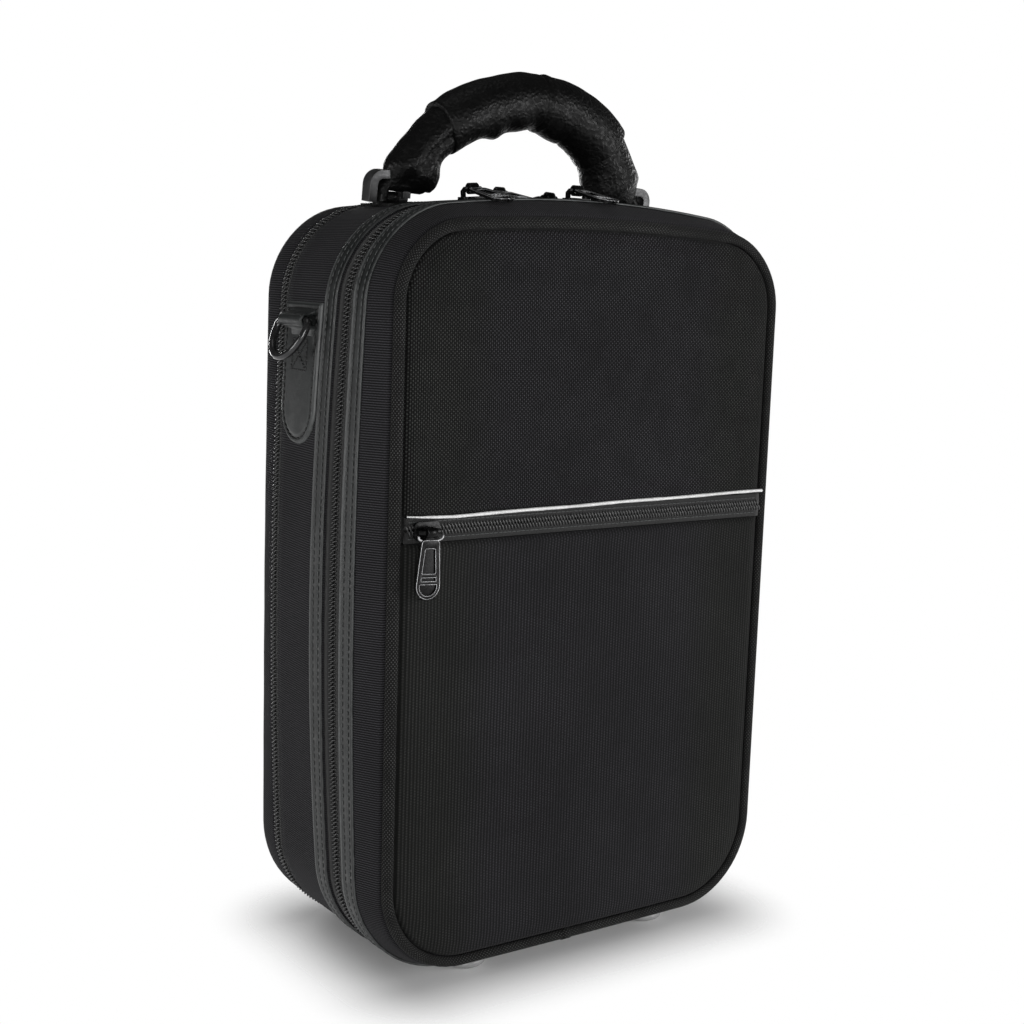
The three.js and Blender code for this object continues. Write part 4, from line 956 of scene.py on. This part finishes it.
# The cord isn't sewn on straight: its height over its lowest line at places along it
rise = np.interp(xs, [-105, -98, -80, -30, 50, 105], [1.3, 0.8, 0.1, 0.8, 1.7, 2.2])
path = np.column_stack([xs, -3.5 + 0.08 * np.sin(xs / 7), POCKET_ZIP_Z + 5.3 + rise + 0.12 * np.sin(xs / 11)])
cord = tube(path, (0.8 + 0.07 * np.sin(xs / 3.1) * np.sin(xs / 8.3)) * thin, 10)
make("pocket_cord_cloth", cord, CORD, "lid", replaces=["pocket_cord"], slot="cord")

# Sliders and pulls


def turn(axis, angle):
    return np.array(Matrix.Rotation(angle, 3, axis))


def moved(proto, turning, offset):
    points, faces = proto
    return points @ turning.T + np.asarray(offset), faces


def flat_plate(outer, holes, thickness, bevel):
    """A flat plate with rounded edges from an outline and holes, in the XY plane."""
    curve = bpy.data.curves.new("plate", "CURVE")
    curve.dimensions, curve.fill_mode = "2D", "BOTH"
    curve.extrude, curve.bevel_depth, curve.bevel_resolution, curve.offset = (
        thickness / 2 - bevel, bevel, 2, -bevel)
    for line in [outer] + holes:
        spline = curve.splines.new("POLY")
        spline.points.add(len(line) - 1)
        spline.points.foreach_set("co", [value for x, y in line for value in (x, y, 0, 1)])
        spline.use_cyclic_u = True
    holder = linked("plate", curve)
    bpy.context.view_layer.update()
    mesh = bpy.data.meshes.new_from_object(holder.evaluated_get(bpy.context.evaluated_depsgraph_get()))
    edited = bmesh.new()
    edited.from_mesh(mesh)
    bmesh.ops.remove_doubles(edited, verts=edited.verts, dist=1e-4)
    bmesh.ops.recalc_face_normals(edited, faces=edited.faces)
    points = np.array([v.co[:] for v in edited.verts])
    faces = [[v.index for v in f.verts] for f in edited.faces]
    edited.free()
    bpy.data.objects.remove(holder)
    bpy.data.curves.remove(curve)
    bpy.data.meshes.remove(mesh)
    return outward(points, faces)


def rounded(corners, radii, steps=6):
    """A closed outline through corners, each rounded by its own radius."""
    made = []
    for i, corner in enumerate(corners):
        before, after = np.array(corners[i - 1], float), np.array(corners[(i + 1) % len(corners)], float)
        at = np.array(corner, float)
        a, b = before - at, after - at
        a, b = a / np.linalg.norm(a), b / np.linalg.norm(b)
        half = math.acos(np.clip(np.dot(a, b), -1, 1)) / 2
        reach = radii[i] / math.tan(half)
        centre = at + (a + b) / np.linalg.norm(a + b) * radii[i] / math.sin(half)
        start, stop = at + a * reach - centre, at + b * reach - centre
        span = math.atan2(start[0] * stop[1] - start[1] * stop[0], np.dot(start, stop))
        for k in range(steps + 1):
            c, s = math.cos(span * k / steps), math.sin(span * k / steps)
            made.append((centre[0] + c * start[0] - s * start[1], centre[1] + s * start[0] + c * start[1]))
    return made


def pull_parts():
    """A long pull along -Y, a rimmed plate with a window, a slot and a round recess, and thin tubes along its
    edges that carry a painted highlight.
    """
    outer = rounded([(-4.4, -3.4), (-6.5, -29.5), (6.5, -29.5), (4.4, -3.4)], [1.6, 6.0, 6.0, 1.6], 10)
    window = rounded([(-2.6, -7.0), (-3.6, -18.2), (3.6, -18.2), (2.6, -7.0)], [0.9, 0.4, 0.4, 0.9], 4)
    slot = rounded([(-3.8, -19.8), (-3.9, -21.6), (3.9, -21.6), (3.8, -19.8)], [0.3] * 4, 3)
    tip = rounded([(-4.5, -22.9), (-4.8, -28.1), (4.8, -28.1), (4.5, -22.9)], [0.5, 4.4, 4.4, 0.5], 7)
    rim = moved(flat_plate(outer, [window, slot, tip], 0.8, 0.22), np.eye(3), (0, 0, 0.5))
    smaller = [(x * 0.985, y * 0.99 - 0.1) for x, y in outer]
    base = moved(flat_plate(smaller, [], 0.8, 0.25), np.eye(3), (0, 0, -0.2))
    neck = flat_plate(
        rounded([(-2.1, -1.6), (-2.1, -4.4), (2.1, -4.4), (2.1, -1.6)], [0.3] * 4, 3), [], 0.9, 0.2)
    bore, barrel_r = 1.65, 2.6
    half = [(2.2, barrel_r), (2.5, barrel_r - 0.3), (2.5, bore)]
    section = [(-x, r) for x, r in half[::-1]] + half
    sides = 20
    angles = np.arange(sides) * 2 * math.pi / sides
    ringed = [[x, r * math.cos(a), r * math.sin(a)] for x, r in section for a in angles]
    barrel = outward(ringed, grid_faces(len(section), sides, True, True))
    edges = [tube([(x * 0.985, y * 0.993 - 0.1, 0.86) for x, y in outer], 0.16, 6, closed=True)]
    edges += [tube([(x, y, 0.88) for x, y in line], 0.13, 6, closed=True) for line in (window, slot, tip)]
    return merged([rim, base, neck, barrel]), merged(edges)


PULL, PULL_EDGES = pull_parts()
BAIL_HEIGHT = 6.2
FRONT_TURN, FRONT_SPOT = turn("X", math.pi / 2), np.array([-95.0, TAPE_FACE - 0.3, POCKET_ZIP_Z])


def top_frame(x, y):
    """A slider's turn and spot on the arched top."""
    growth, _, top, _ = station_at(y)
    radius = (HALF_WIDTH + growth) ** 2 / (2 * top)
    angle = math.asin(x / radius)
    return turn("Y", angle), np.array([x, y, top_surface(0, y) - radius + radius * math.cos(angle)])


def set_pull(name, turning, spot, tilt):
    """A pull on its slider: the slider's turn and spot, and the pull's own tilt on the bail."""
    plate, edges = (
        moved(moved(part, tilt, (0, 0, BAIL_HEIGHT)), turning, spot) for part in (PULL, PULL_EDGES))
    make(f"{name}_plate", plate, GUNMETAL, name, replaces=[name], slot="hardware")
    # The edge tubes take the pale metal as a painted highlight.
    make(f"{name}_edges", edges, EDGE_HIGHLIGHT_METAL, name, slot="hardware")


MAIN_TILT, REAR_TILT = math.radians(12), math.radians(10.4)
for name, x, y, tilt in (
    ("main_pull_left", -52, PARTING, turn("X", MAIN_TILT)),
    ("main_pull_right", 7, PARTING, turn("X", MAIN_TILT)),
    ("rear_pull_left", 4, REAR_PARTING, turn("X", REAR_TILT)),
    ("rear_pull_right", 35, REAR_PARTING, turn("X", -REAR_TILT) @ turn("Z", math.pi)),
):
    set_pull(name, *top_frame(x, y), tilt)
set_pull("pocket_pull", FRONT_TURN, FRONT_SPOT + [-0.6, 0, 0], turn("Z", math.radians(-3)))
for name in (
    "main_slider_left", "main_slider_right", "rear_slider_left", "rear_slider_right", "pocket_slider",
):
    copied(f"{name}_case", name, GUNMETAL, name, bevelled(0.35, 3))


def bridge():
    """The bar over the pocket slider that holds the pull, in pale metal as a painted highlight."""
    turns = np.linspace(0, math.pi, 13)
    return tube([(-6.3 * math.cos(a), -1.6 - 2.6 * math.sin(a) ** 0.6, 5.6) for a in turns], 0.55, 8)


make("pocket_slider_bridge", moved(bridge(), FRONT_TURN, FRONT_SPOT), EDGE_HIGHLIGHT_METAL, "pocket_slider",
     slot="hardware")

# Side tongues, their loops and the strap rings


def tongue_point(side, y, z, lift):
    return [side * (side_surface(y, z) + lift), y, z]


def tongue_outline(steps=10):
    half, straight = TONGUE_WIDTH / 2, TONGUE_TOP - TONGUE_LENGTH + TONGUE_WIDTH / 2
    low = [(half * math.sin(a), straight - half * math.cos(a))
           for a in np.linspace(-math.pi / 4, math.pi / 4, steps)]
    left = [(half * math.sin(a), straight - half * math.cos(a))
            for a in np.linspace(-math.pi / 4, -math.pi / 2, steps)]
    left += [(-half, z) for z in np.linspace(straight, TONGUE_TOP, 20)[1:]]
    return np.array(low), np.array(left)


def make_tongue(label, side):
    low, left = tongue_outline()
    columns, rows = 40, 76
    right = left * [-1, 1]
    top = resampled(np.array([left[-1], right[-1]]), columns)
    grid = coons(resampled(low, columns), top, resampled(left, rows), resampled(right, rows))
    rim = np.vstack([left[::-1], low, right])
    d = distance_to(grid, rim)
    d = np.minimum(d, TONGUE_TOP - grid[..., 1])
    lift = 0.3 + 1.7 * roll(d, 1.3, 2.6) - 0.45 * np.exp(-((d - 2.9) / 0.7) ** 2)
    flat, lifts = grid.reshape(-1, 2), lift.reshape(-1)
    front = np.array([tongue_point(side, TONGUE_DEPTH + a, z, h) for (a, z), h in zip(flat, lifts)])
    front = front.reshape(rows, columns, 3)
    edge = np.array([tongue_point(side, TONGUE_DEPTH + a, z, 0.02) for a, z in flat[border(rows, columns)]])
    centre = np.array([tongue_point(side, TONGUE_DEPTH, TONGUE_TOP - TONGUE_LENGTH / 2, -0.4)])
    shape = closed_sheet(front, edge, centre)
    # The distance from the rim places the vinyl's painted highlight along the rim and a ridge, and its
    # painted shade in the groove.
    from_rim = np.zeros(len(shape[0]))
    from_rim[: d.size] = np.minimum(d, TRIM_WIDTH / 2).ravel()
    uv = np.column_stack([shape[0][:, 2], from_rim])
    turn_outward(make(f"{label}_tongue_vinyl", shape, TONGUE_VINYL, "shell", uv, replaces=[f"{label}_tongue"],
                      slot="vinyl"))


RING_Z = TONGUE_TOP - 8.0
RING_X = 124.157
BOX = [(-7.5, RING_Z - 9.0), (7.5, RING_Z - 9.0), (7.5, RING_Z - 23.0), (-7.5, RING_Z - 23.0)]


def make_loop(label, side):
    """The band that goes round the strap ring's bar and is sewn to the tongue."""
    face = side_surface(LOOP_DEPTH, RING_Z) + 1.9
    out, inner = 3.15, 2.1
    turns = np.radians(np.linspace(105, -105, 15))
    around = [(RING_X + out * math.cos(a), RING_Z + out * math.sin(a)) for a in turns]
    turns = np.radians(np.linspace(-105, 105, 13))
    inside = [(RING_X + inner * math.cos(a), RING_Z + inner * math.sin(a)) for a in turns]
    section = [(face - 0.6, RING_Z + 5.2), (face + 0.5, RING_Z + 5.0), (face + 0.9, RING_Z + 4.0)] + around
    below = ((0.9, 4.6), (0.7, 6.6), (0.3, 7.2), (-0.6, 7.2), (-0.6, 2.2))
    section += [(face + x, RING_Z - z) for x, z in below] + inside + [(face - 0.6, RING_Z + 2.2)]
    depths = np.array([-11.0, -10.7, -9.0, -4.5, 0, 4.5, 9.0, 10.7, 11.0])
    shrink = np.array([0.3, 0.0, 0, 0, 0, 0, 0, 0.0, 0.3])
    points = []
    for along, less in zip(depths, shrink):
        for k, (x, z) in enumerate(section):
            low = x < face + 1.1 and z < RING_Z - 4
            bend = side_surface(LOOP_DEPTH + along, z) - side_surface(LOOP_DEPTH, RING_Z) if low else 0.0
            points.append([side * (x + bend - less), LOOP_DEPTH + along, z])
    make(f"{label}_loop_vinyl", lofted(points, len(depths), len(section)), LOOP_VINYL, "shell", slot="vinyl")


def sewn(name, side, line, lift, pitch=3.2, length=1.0):
    """Stitches along a line of (across, z) points on a tongue."""
    line = resampled(np.array(line, float), 400)
    path = travelled(line, False)
    parts = []
    for s in np.arange(pitch / 2, path[-1], pitch):
        ends = []
        for shift, rise in ((-1.0, -0.25), (-0.6, 0.1), (0.6, 0.1), (1.0, -0.25)):
            at = s + shift * length
            a, z = np.interp(at, path, line[:, 0]), np.interp(at, path, line[:, 1])
            ends.append(tongue_point(side, TONGUE_DEPTH + a, z, lift + rise))
        parts.append(tube(ends, [0.25, 0.38, 0.38, 0.25], 6))
    make(name, merged(parts), DARK_THREAD, "shell")


RING_WIDTH, RING_HEIGHT, WIRE, RING_CORNER = 32, 22, 3.5, 4.0


def ring_path():
    """The middle line of a D-ring's wire, across and down from its straight bar."""
    half, corner = RING_WIDTH / 2 - WIRE / 2, RING_CORNER
    straight = RING_HEIGHT - WIRE - half
    turns = np.linspace(0, math.pi / 2, 8)
    corners = [(half - corner + corner * math.sin(a), -corner + corner * math.cos(a)) for a in turns]
    bow = [(half * math.cos(a), -straight + half * math.sin(a)) for a in np.linspace(0, -math.pi, 25)]
    far = [(-y, z) for y, z in corners[::-1]]
    return np.array(corners + bow + far)


for label, side in (("left", -1), ("right", 1)):
    make_tongue(label, side)
    make_loop(label, side)
    low, left = tongue_outline()
    rim = np.vstack([left[::-1], low, left * [-1, 1]])
    centre = np.array([0, TONGUE_TOP - TONGUE_LENGTH / 2 + 2])
    sewn(f"{label}_tongue_stitches", side, centre + (rim - centre) * [0.86, 0.935], 1.75)
    sewn(f"{label}_box_stitches", side, [BOX[k] for k in (0, 1, 2, 3, 0)], 2.0, 2.2, 0.85)
    sewn(f"{label}_cross_stitches_1", side, [BOX[0], BOX[2]], 2.0, 2.2, 0.85)
    sewn(f"{label}_cross_stitches_2", side, [BOX[1], BOX[3]], 2.0, 2.2, 0.85)
    bent = resampled(np.vstack([ring_path(), ring_path()[:1]]), 90)[:-1]
    drop, lean = np.cos(RING_LEAN), np.sin(RING_LEAN)
    wire = np.array([[side * (RING_X - z * lean), LOOP_DEPTH + a, RING_Z + z * drop] for a, z in bent])
    make(f"{label}_strap_ring", tube(wire, 1.72, 14, closed=True), WIRE_METAL, f"{label}_d_ring",
         replaces=[f"{label}_d_ring"], slot="hardware")

# Handle


def catmull(rows, share):
    """Centripetal curve through the rows, at a share of the way along."""
    points = np.asarray(rows, float)
    at = (len(points) - 1) * share
    i = min(int(at), len(points) - 2)
    w = at - i
    p1, p2 = points[i], points[i + 1]
    p0 = points[i - 1] if i else 2 * p1 - p2
    p3 = points[i + 2] if i + 2 < len(points) else 2 * p2 - p1
    steps = [max(np.linalg.norm(b - a) ** 0.5, 1e-4) for a, b in ((p0, p1), (p1, p2), (p2, p3))]
    t1 = ((p1 - p0) / steps[0] - (p2 - p0) / (steps[0] + steps[1]) + (p2 - p1) / steps[1]) * steps[1]
    t2 = ((p2 - p1) / steps[1] - (p3 - p1) / (steps[1] + steps[2]) + (p3 - p2) / steps[2]) * steps[1]
    return p1 + t1 * w + (3 * (p2 - p1) - 2 * t1 - t2) * w ** 2 + (2 * (p1 - p2) + t1 + t2) * w ** 3


CENTRES = [row[:2] for row in HANDLE_ROWS]
SIZES = [row[2:] for row in HANDLE_ROWS]
LEAN = turn("X", HANDLE_LEAN)


def arch_section(share):
    centre, size = catmull(CENTRES, share), catmull(SIZES, share)
    near, far = catmull(CENTRES, max(share - 0.004, 0)), catmull(CENTRES, min(share + 0.004, 1))
    tangent = (far - near) / np.linalg.norm(far - near)
    return centre, size, np.array([-tangent[1], tangent[0]])


def arch(shares, layer, sides=40, skew=None):
    """Points round the handle's curve; layer is added to its half sizes, and skew slants the rows."""
    rows = []
    for i, share in enumerate(shares):
        for k in range(sides):
            a = 2 * math.pi * k / sides
            if k == 0 or skew is not None:
                leaned = share + (0 if skew is None else skew[i] * math.cos(a))
                centre, size, across = arch_section(min(max(leaned, 0.0), 1.0))
            u, v = (size[0] + layer[i]) * math.cos(a), (size[1] + layer[i]) * math.sin(a)
            at = centre + across * u
            rows.append([at[0], v, at[1], share, a])
    return np.array(rows).reshape(len(shares), sides, 5)


def handle_mesh(name, node, rows):
    """A closed piece of the handle's leather from its rows of points."""
    shape = moved(lofted(rows[..., :3].reshape(-1, 3), *rows.shape[:2]), LEAN, [HANDLE_X, HANDLE_Y, HANDLE_Z])
    make(name, shape, LEATHER, "handle", replaces=[node], slot="leather")


def creased(rows, size, seed):
    """Leather creases: shallow waves that run across the padding, deeper inside the bend."""
    share, angle = rows[..., 3], rows[..., 4]
    centre = rows[..., :3].mean(1, keepdims=True)
    away = rows[..., :3] - centre
    away /= np.maximum(np.linalg.norm(away, axis=2, keepdims=True), 1e-6)
    inside = 0.35 + 0.65 * (0.5 - 0.5 * np.cos(angle))
    folds = np.sin(share * 95 + seed + 1.1 * np.sin(2 * angle + seed))
    folds = folds * np.sin(share * 37 + 2 * seed + 0.8 * np.cos(angle))
    lumps = wobble(rows[..., :3].reshape(-1, 3), 0.35, 9.0, seed).reshape(share.shape)
    rows[..., :3] += away * (size * folds * inside + lumps)[..., None]
    return rows


def make_core():
    """The handle's padding, with a furrow along its left leg."""
    core_shares = np.concatenate([
        np.linspace(0, 0.05, 6), np.linspace(0.06, 0.94, 110), np.linspace(0.95, 1, 6),
    ])
    ends = np.minimum(core_shares, 1 - core_shares)
    core_layer = -2.6 * (1 - roll(ends, 0.035, 2.5))
    core = creased(arch(core_shares, core_layer), 0.16, 0.7)
    share, angle = core[..., 3], core[..., 4]
    furrow_at = math.radians(300) - 2.2 * share
    fading = np.exp(-((share - 0.2) / 0.13) ** 4)
    groove = np.exp(-((angle - furrow_at) / 0.16) ** 2)
    groove = fading * groove - 0.35 * fading * np.exp(-((angle - furrow_at - 0.45) / 0.2) ** 2)
    inwards = core[..., :3].mean(1, keepdims=True) - core[..., :3]
    core[..., :3] += inwards / np.linalg.norm(inwards, axis=2, keepdims=True) * (1.6 * groove)[..., None]
    handle_mesh("handle_core_leather", "handle_core", core)


def make_grip():
    """The wrapped cover round the middle of the handle, with its seam and folds."""
    grip_shares = np.concatenate([
        np.linspace(GRIP_START, GRIP_START + 0.02, 9),
        np.linspace(GRIP_START + 0.025, GRIP_END - 0.025, 80),
        np.linspace(GRIP_END - 0.02, GRIP_END, 9),
    ])
    from_end = np.minimum(grip_shares - GRIP_START, GRIP_END - grip_shares)
    grip_layer = 0.3 + 0.8 * roll(from_end, 0.002, 2.0) + 0.7 * roll(from_end, 0.03, 1.5)
    grip_layer = grip_layer - 1.1 * np.exp(-((grip_shares - GRIP_SEAM) / 0.003) ** 2)
    grip_layer = grip_layer + 0.45 * np.exp(-((grip_shares - GRIP_SEAM - 0.009) / 0.006) ** 2)
    slant = (0.017 * np.exp(-(grip_shares - GRIP_START) / 0.06)
             - 0.012 * np.exp(-(GRIP_END - grip_shares) / 0.06))
    grip = creased(arch(grip_shares, grip_layer, 48, slant), 0.1, 2.1)
    share, angle = grip[..., 3], grip[..., 4]
    spread = grip[..., :3] - grip[..., :3].mean(1, keepdims=True)
    spread /= np.linalg.norm(spread, axis=2, keepdims=True)
    outside, inside = np.clip(np.cos(angle), 0, 1) ** 2, np.clip(-np.cos(angle), 0, 1)
    near_end = np.minimum(share - GRIP_START, GRIP_END - share)
    shift = 1.0 * np.exp(-(near_end / 0.012) ** 2) * outside
    for at, wide, size in GRIP_FOLDS:
        shift = shift + size * np.exp(-((share - at - 0.012 * np.sin(angle)) / wide) ** 2) * inside ** 1.3
    grip[..., :3] += spread * shift[..., None]
    handle_mesh("handle_grip_leather", "handle_grip", grip)


make_core()
make_grip()


def ring_leather(label, side):
    """The end of the leather that is folded through a handle ring and fills it."""
    rows = [
        (-6.5, 0.3), (-6.1, 1.6), (-4, 3.0), (0, 3.5), (4, 3.3), (8, 3.4),
        (10.5, 2.6), (11.3, 1.2), (11.6, 0.3),
    ]
    path = [(HANDLE_X + side * (RING_LEATHER_X - 0.06 * max(h, 0) ** 2), HANDLE_Y, HANDLE_Z + h)
            for h, _ in rows]
    points, faces = tube(path, [r for _, r in rows], 16, flat=1.35)
    points = points + wobble(points, 0.25, 5.0, 1.0)[:, None] * [1.0, 0.6, 0.3]
    piece = make(f"handle_{label}_fold_leather", (points, faces), LEATHER, "handle", slot="leather")


for label, side in (("left", -1), ("right", 1)):
    ring_leather(label, side)
    copied(f"handle_ring_{label}_band", f"handle_ring_{label}", RING_METAL, "handle",
           bevelled(0.6, 3, 25))
    copied(f"handle_tab_{label}_leather", f"handle_tab_{label}", LEATHER, "shell",
           bevelled(0.4, 2))

# Settle the padded faces as cloth


CLOTH_FRAMES = 20


def swell():
    """Put pressure on the padded faces as cloth held at its seams, and keep the result."""
    scene = bpy.context.scene
    starts = []
    for piece, free, pressure, _ in SOFT:
        group = piece.vertex_groups.new(name="held")
        loose = set(free)
        group.add([i for i in range(len(piece.data.vertices)) if i not in loose], 1.0, "REPLACE")
        cloth = piece.modifiers.new("Cloth", "CLOTH")
        cloth.settings.vertex_group_mass = "held"
        cloth.settings.use_pressure = True
        cloth.settings.uniform_pressure_force = pressure
        cloth.settings.effector_weights.gravity = 0
        cloth.settings.tension_stiffness = 12
        starts.append(np.array([v.co[:] for v in piece.data.vertices]))
    for step in range(1, CLOTH_FRAMES + 1):
        scene.frame_set(step)
    for (piece, _, _, cap), start in zip(SOFT, starts):
        shape = piece.evaluated_get(bpy.context.evaluated_depsgraph_get()).to_mesh()
        move = np.array([v.co[:] for v in shape.vertices]) - start
        size = np.linalg.norm(move, axis=1)
        limit = cap * MM
        move *= (limit * np.tanh(size / limit) / np.maximum(size, 1e-9))[:, None]
        piece.evaluated_get(bpy.context.evaluated_depsgraph_get()).to_mesh_clear()
        piece.modifiers.clear()
        piece.vertex_groups.clear()
        piece.data.vertices.foreach_set("co", (start + move).ravel())
        piece.data.update()
    scene.frame_set(1)


swell()
for piece, *_ in SOFT:
    turn_outward(piece)

# Floor, light and camera


# Half sizes of the floor's opaque middle and the width of its fading edge, in metres
FLOOR_REACH, FLOOR_FADE = (0.085, 0.045), 0.06


def backdrop():
    """A pale floor that keeps the shadow and fades into the white background away from the case."""
    t = Tree("pale_floor")
    place = t.place()
    colour = t.mix(t.noise(place, 6.0, 3.0), grey(0.86), grey(0.9))
    t.finish(base_color=colour, roughness=0.8, specular_ior_level=0.1)
    mesh = bpy.data.meshes.new("floor")
    size = 4.0
    mesh.from_pydata([(-size, -size, 0), (size, -size, 0), (size, size, 0), (-size, size, 0)], [],
                     [(0, 1, 2, 3)])
    mesh.materials.append(t.material)
    linked("floor", mesh)
    across, deep = split(t, place)[:2]
    squares = []
    for value, reach in zip((across, deep), FLOOR_REACH):
        beyond = t.math("MAXIMUM", t.sub(t.size(value), reach), 0.0)
        squares.append(t.mul(beyond, beyond))
    far = t.ramp(t.math("SQRT", t.add(*squares)), 0.0, FLOOR_FADE)
    path = t.put("ShaderNodeLightPath", {}).node
    glow = t.put("ShaderNodeEmission", {"Color": (1, 1, 1, 1), "Strength": 1.0})
    clear = t.put("ShaderNodeBsdfTransparent", {})
    through = t.math("MAXIMUM", path.outputs["Is Camera Ray"], path.outputs["Is Shadow Ray"])
    shown = t.shader.outputs[0]
    for share, shader in ((path.outputs["Is Glossy Ray"], glow), (through, clear)):
        mixed = t.nodes.new("ShaderNodeMixShader")
        t.links.new(t.mul(far, share), mixed.inputs[0])
        t.links.new(shown, mixed.inputs[1])
        t.links.new(shader, mixed.inputs[2])
        shown = mixed.outputs[0]
    t.links.new(shown, t.nodes["Material Output"].inputs[0])


def sky():
    world = bpy.data.worlds.new("studio")
    bpy.context.scene.world = world
    world.use_nodes = True
    nodes, links = world.node_tree.nodes, world.node_tree.links
    background = nodes["Background"]
    background.inputs["Color"].default_value = (1, 1, 1, 1)
    path = nodes.new("ShaderNodeLightPath")
    strength = nodes.new("ShaderNodeMapRange")
    links.new(path.outputs["Is Camera Ray"], strength.inputs["Value"])
    strength.inputs["To Min"].default_value = 0.06
    strength.inputs["To Max"].default_value = 1.0
    links.new(strength.outputs[0], background.inputs["Strength"])


AIM = Vector((0, 0, 0.2))


def lamp(name, spot, size, power):
    """A soft square lamp that looks at the case."""
    light = bpy.data.lights.new(name, "AREA")
    light.size, light.energy = size, power
    holder = linked(name, light)
    holder.location = spot
    holder.rotation_euler = (AIM - Vector(spot)).to_track_quat("-Z", "Y").to_euler()


CAMERA_SPOT = [-457.98, -584.5, 150.1]
CAMERA_PAN, CAMERA_TILT, CAMERA_ROLL = 0.6128, 0.1495, 0.0329
CAMERA_FOCAL = 1588


def camera():
    """The photo's camera, fitted to the outline of the case."""
    data = bpy.data.cameras.new("camera")
    data.sensor_width, data.sensor_fit, data.lens = 36.0, "HORIZONTAL", CAMERA_FOCAL / 1024 * 36
    data.clip_start, data.clip_end = 0.01, 50
    holder = linked("camera", data)
    pan, tilt, spin = CAMERA_PAN, CAMERA_TILT, CAMERA_ROLL
    forward = Vector((math.sin(pan) * math.cos(tilt), math.cos(pan) * math.cos(tilt), -math.sin(tilt)))
    right = Vector((math.cos(pan), -math.sin(pan), 0))
    up = right.cross(forward)
    x_axis = math.cos(spin) * right + math.sin(spin) * up
    y_axis = -math.sin(spin) * right + math.cos(spin) * up
    spot = (np.array(CAMERA_SPOT) + SHIFT) * MM
    axes = Matrix((x_axis, y_axis, -forward)).transposed().to_4x4()
    axes.translation = Vector(spot)
    holder.matrix_world = axes
    bpy.context.scene.camera = holder


backdrop()
sky()
lamp("key", (-0.9, -1.7, 0.4), 0.8, 18)
lamp("side", (-1.8, 0.2, 0.4), 0.7, 11)
lamp("front", (0.9, -1.25, 0.35), 0.7, 14)
lamp("top", (-0.1, 0.1, 1.8), 0.8, 1.5)
lamp("rear", (0.5, 1.8, 0.4), 0.8, 16)
lamp("right", (1.8, 0.4, 0.4), 0.7, 9)
camera()
bpy.context.scene.view_settings.view_transform = "Standard"
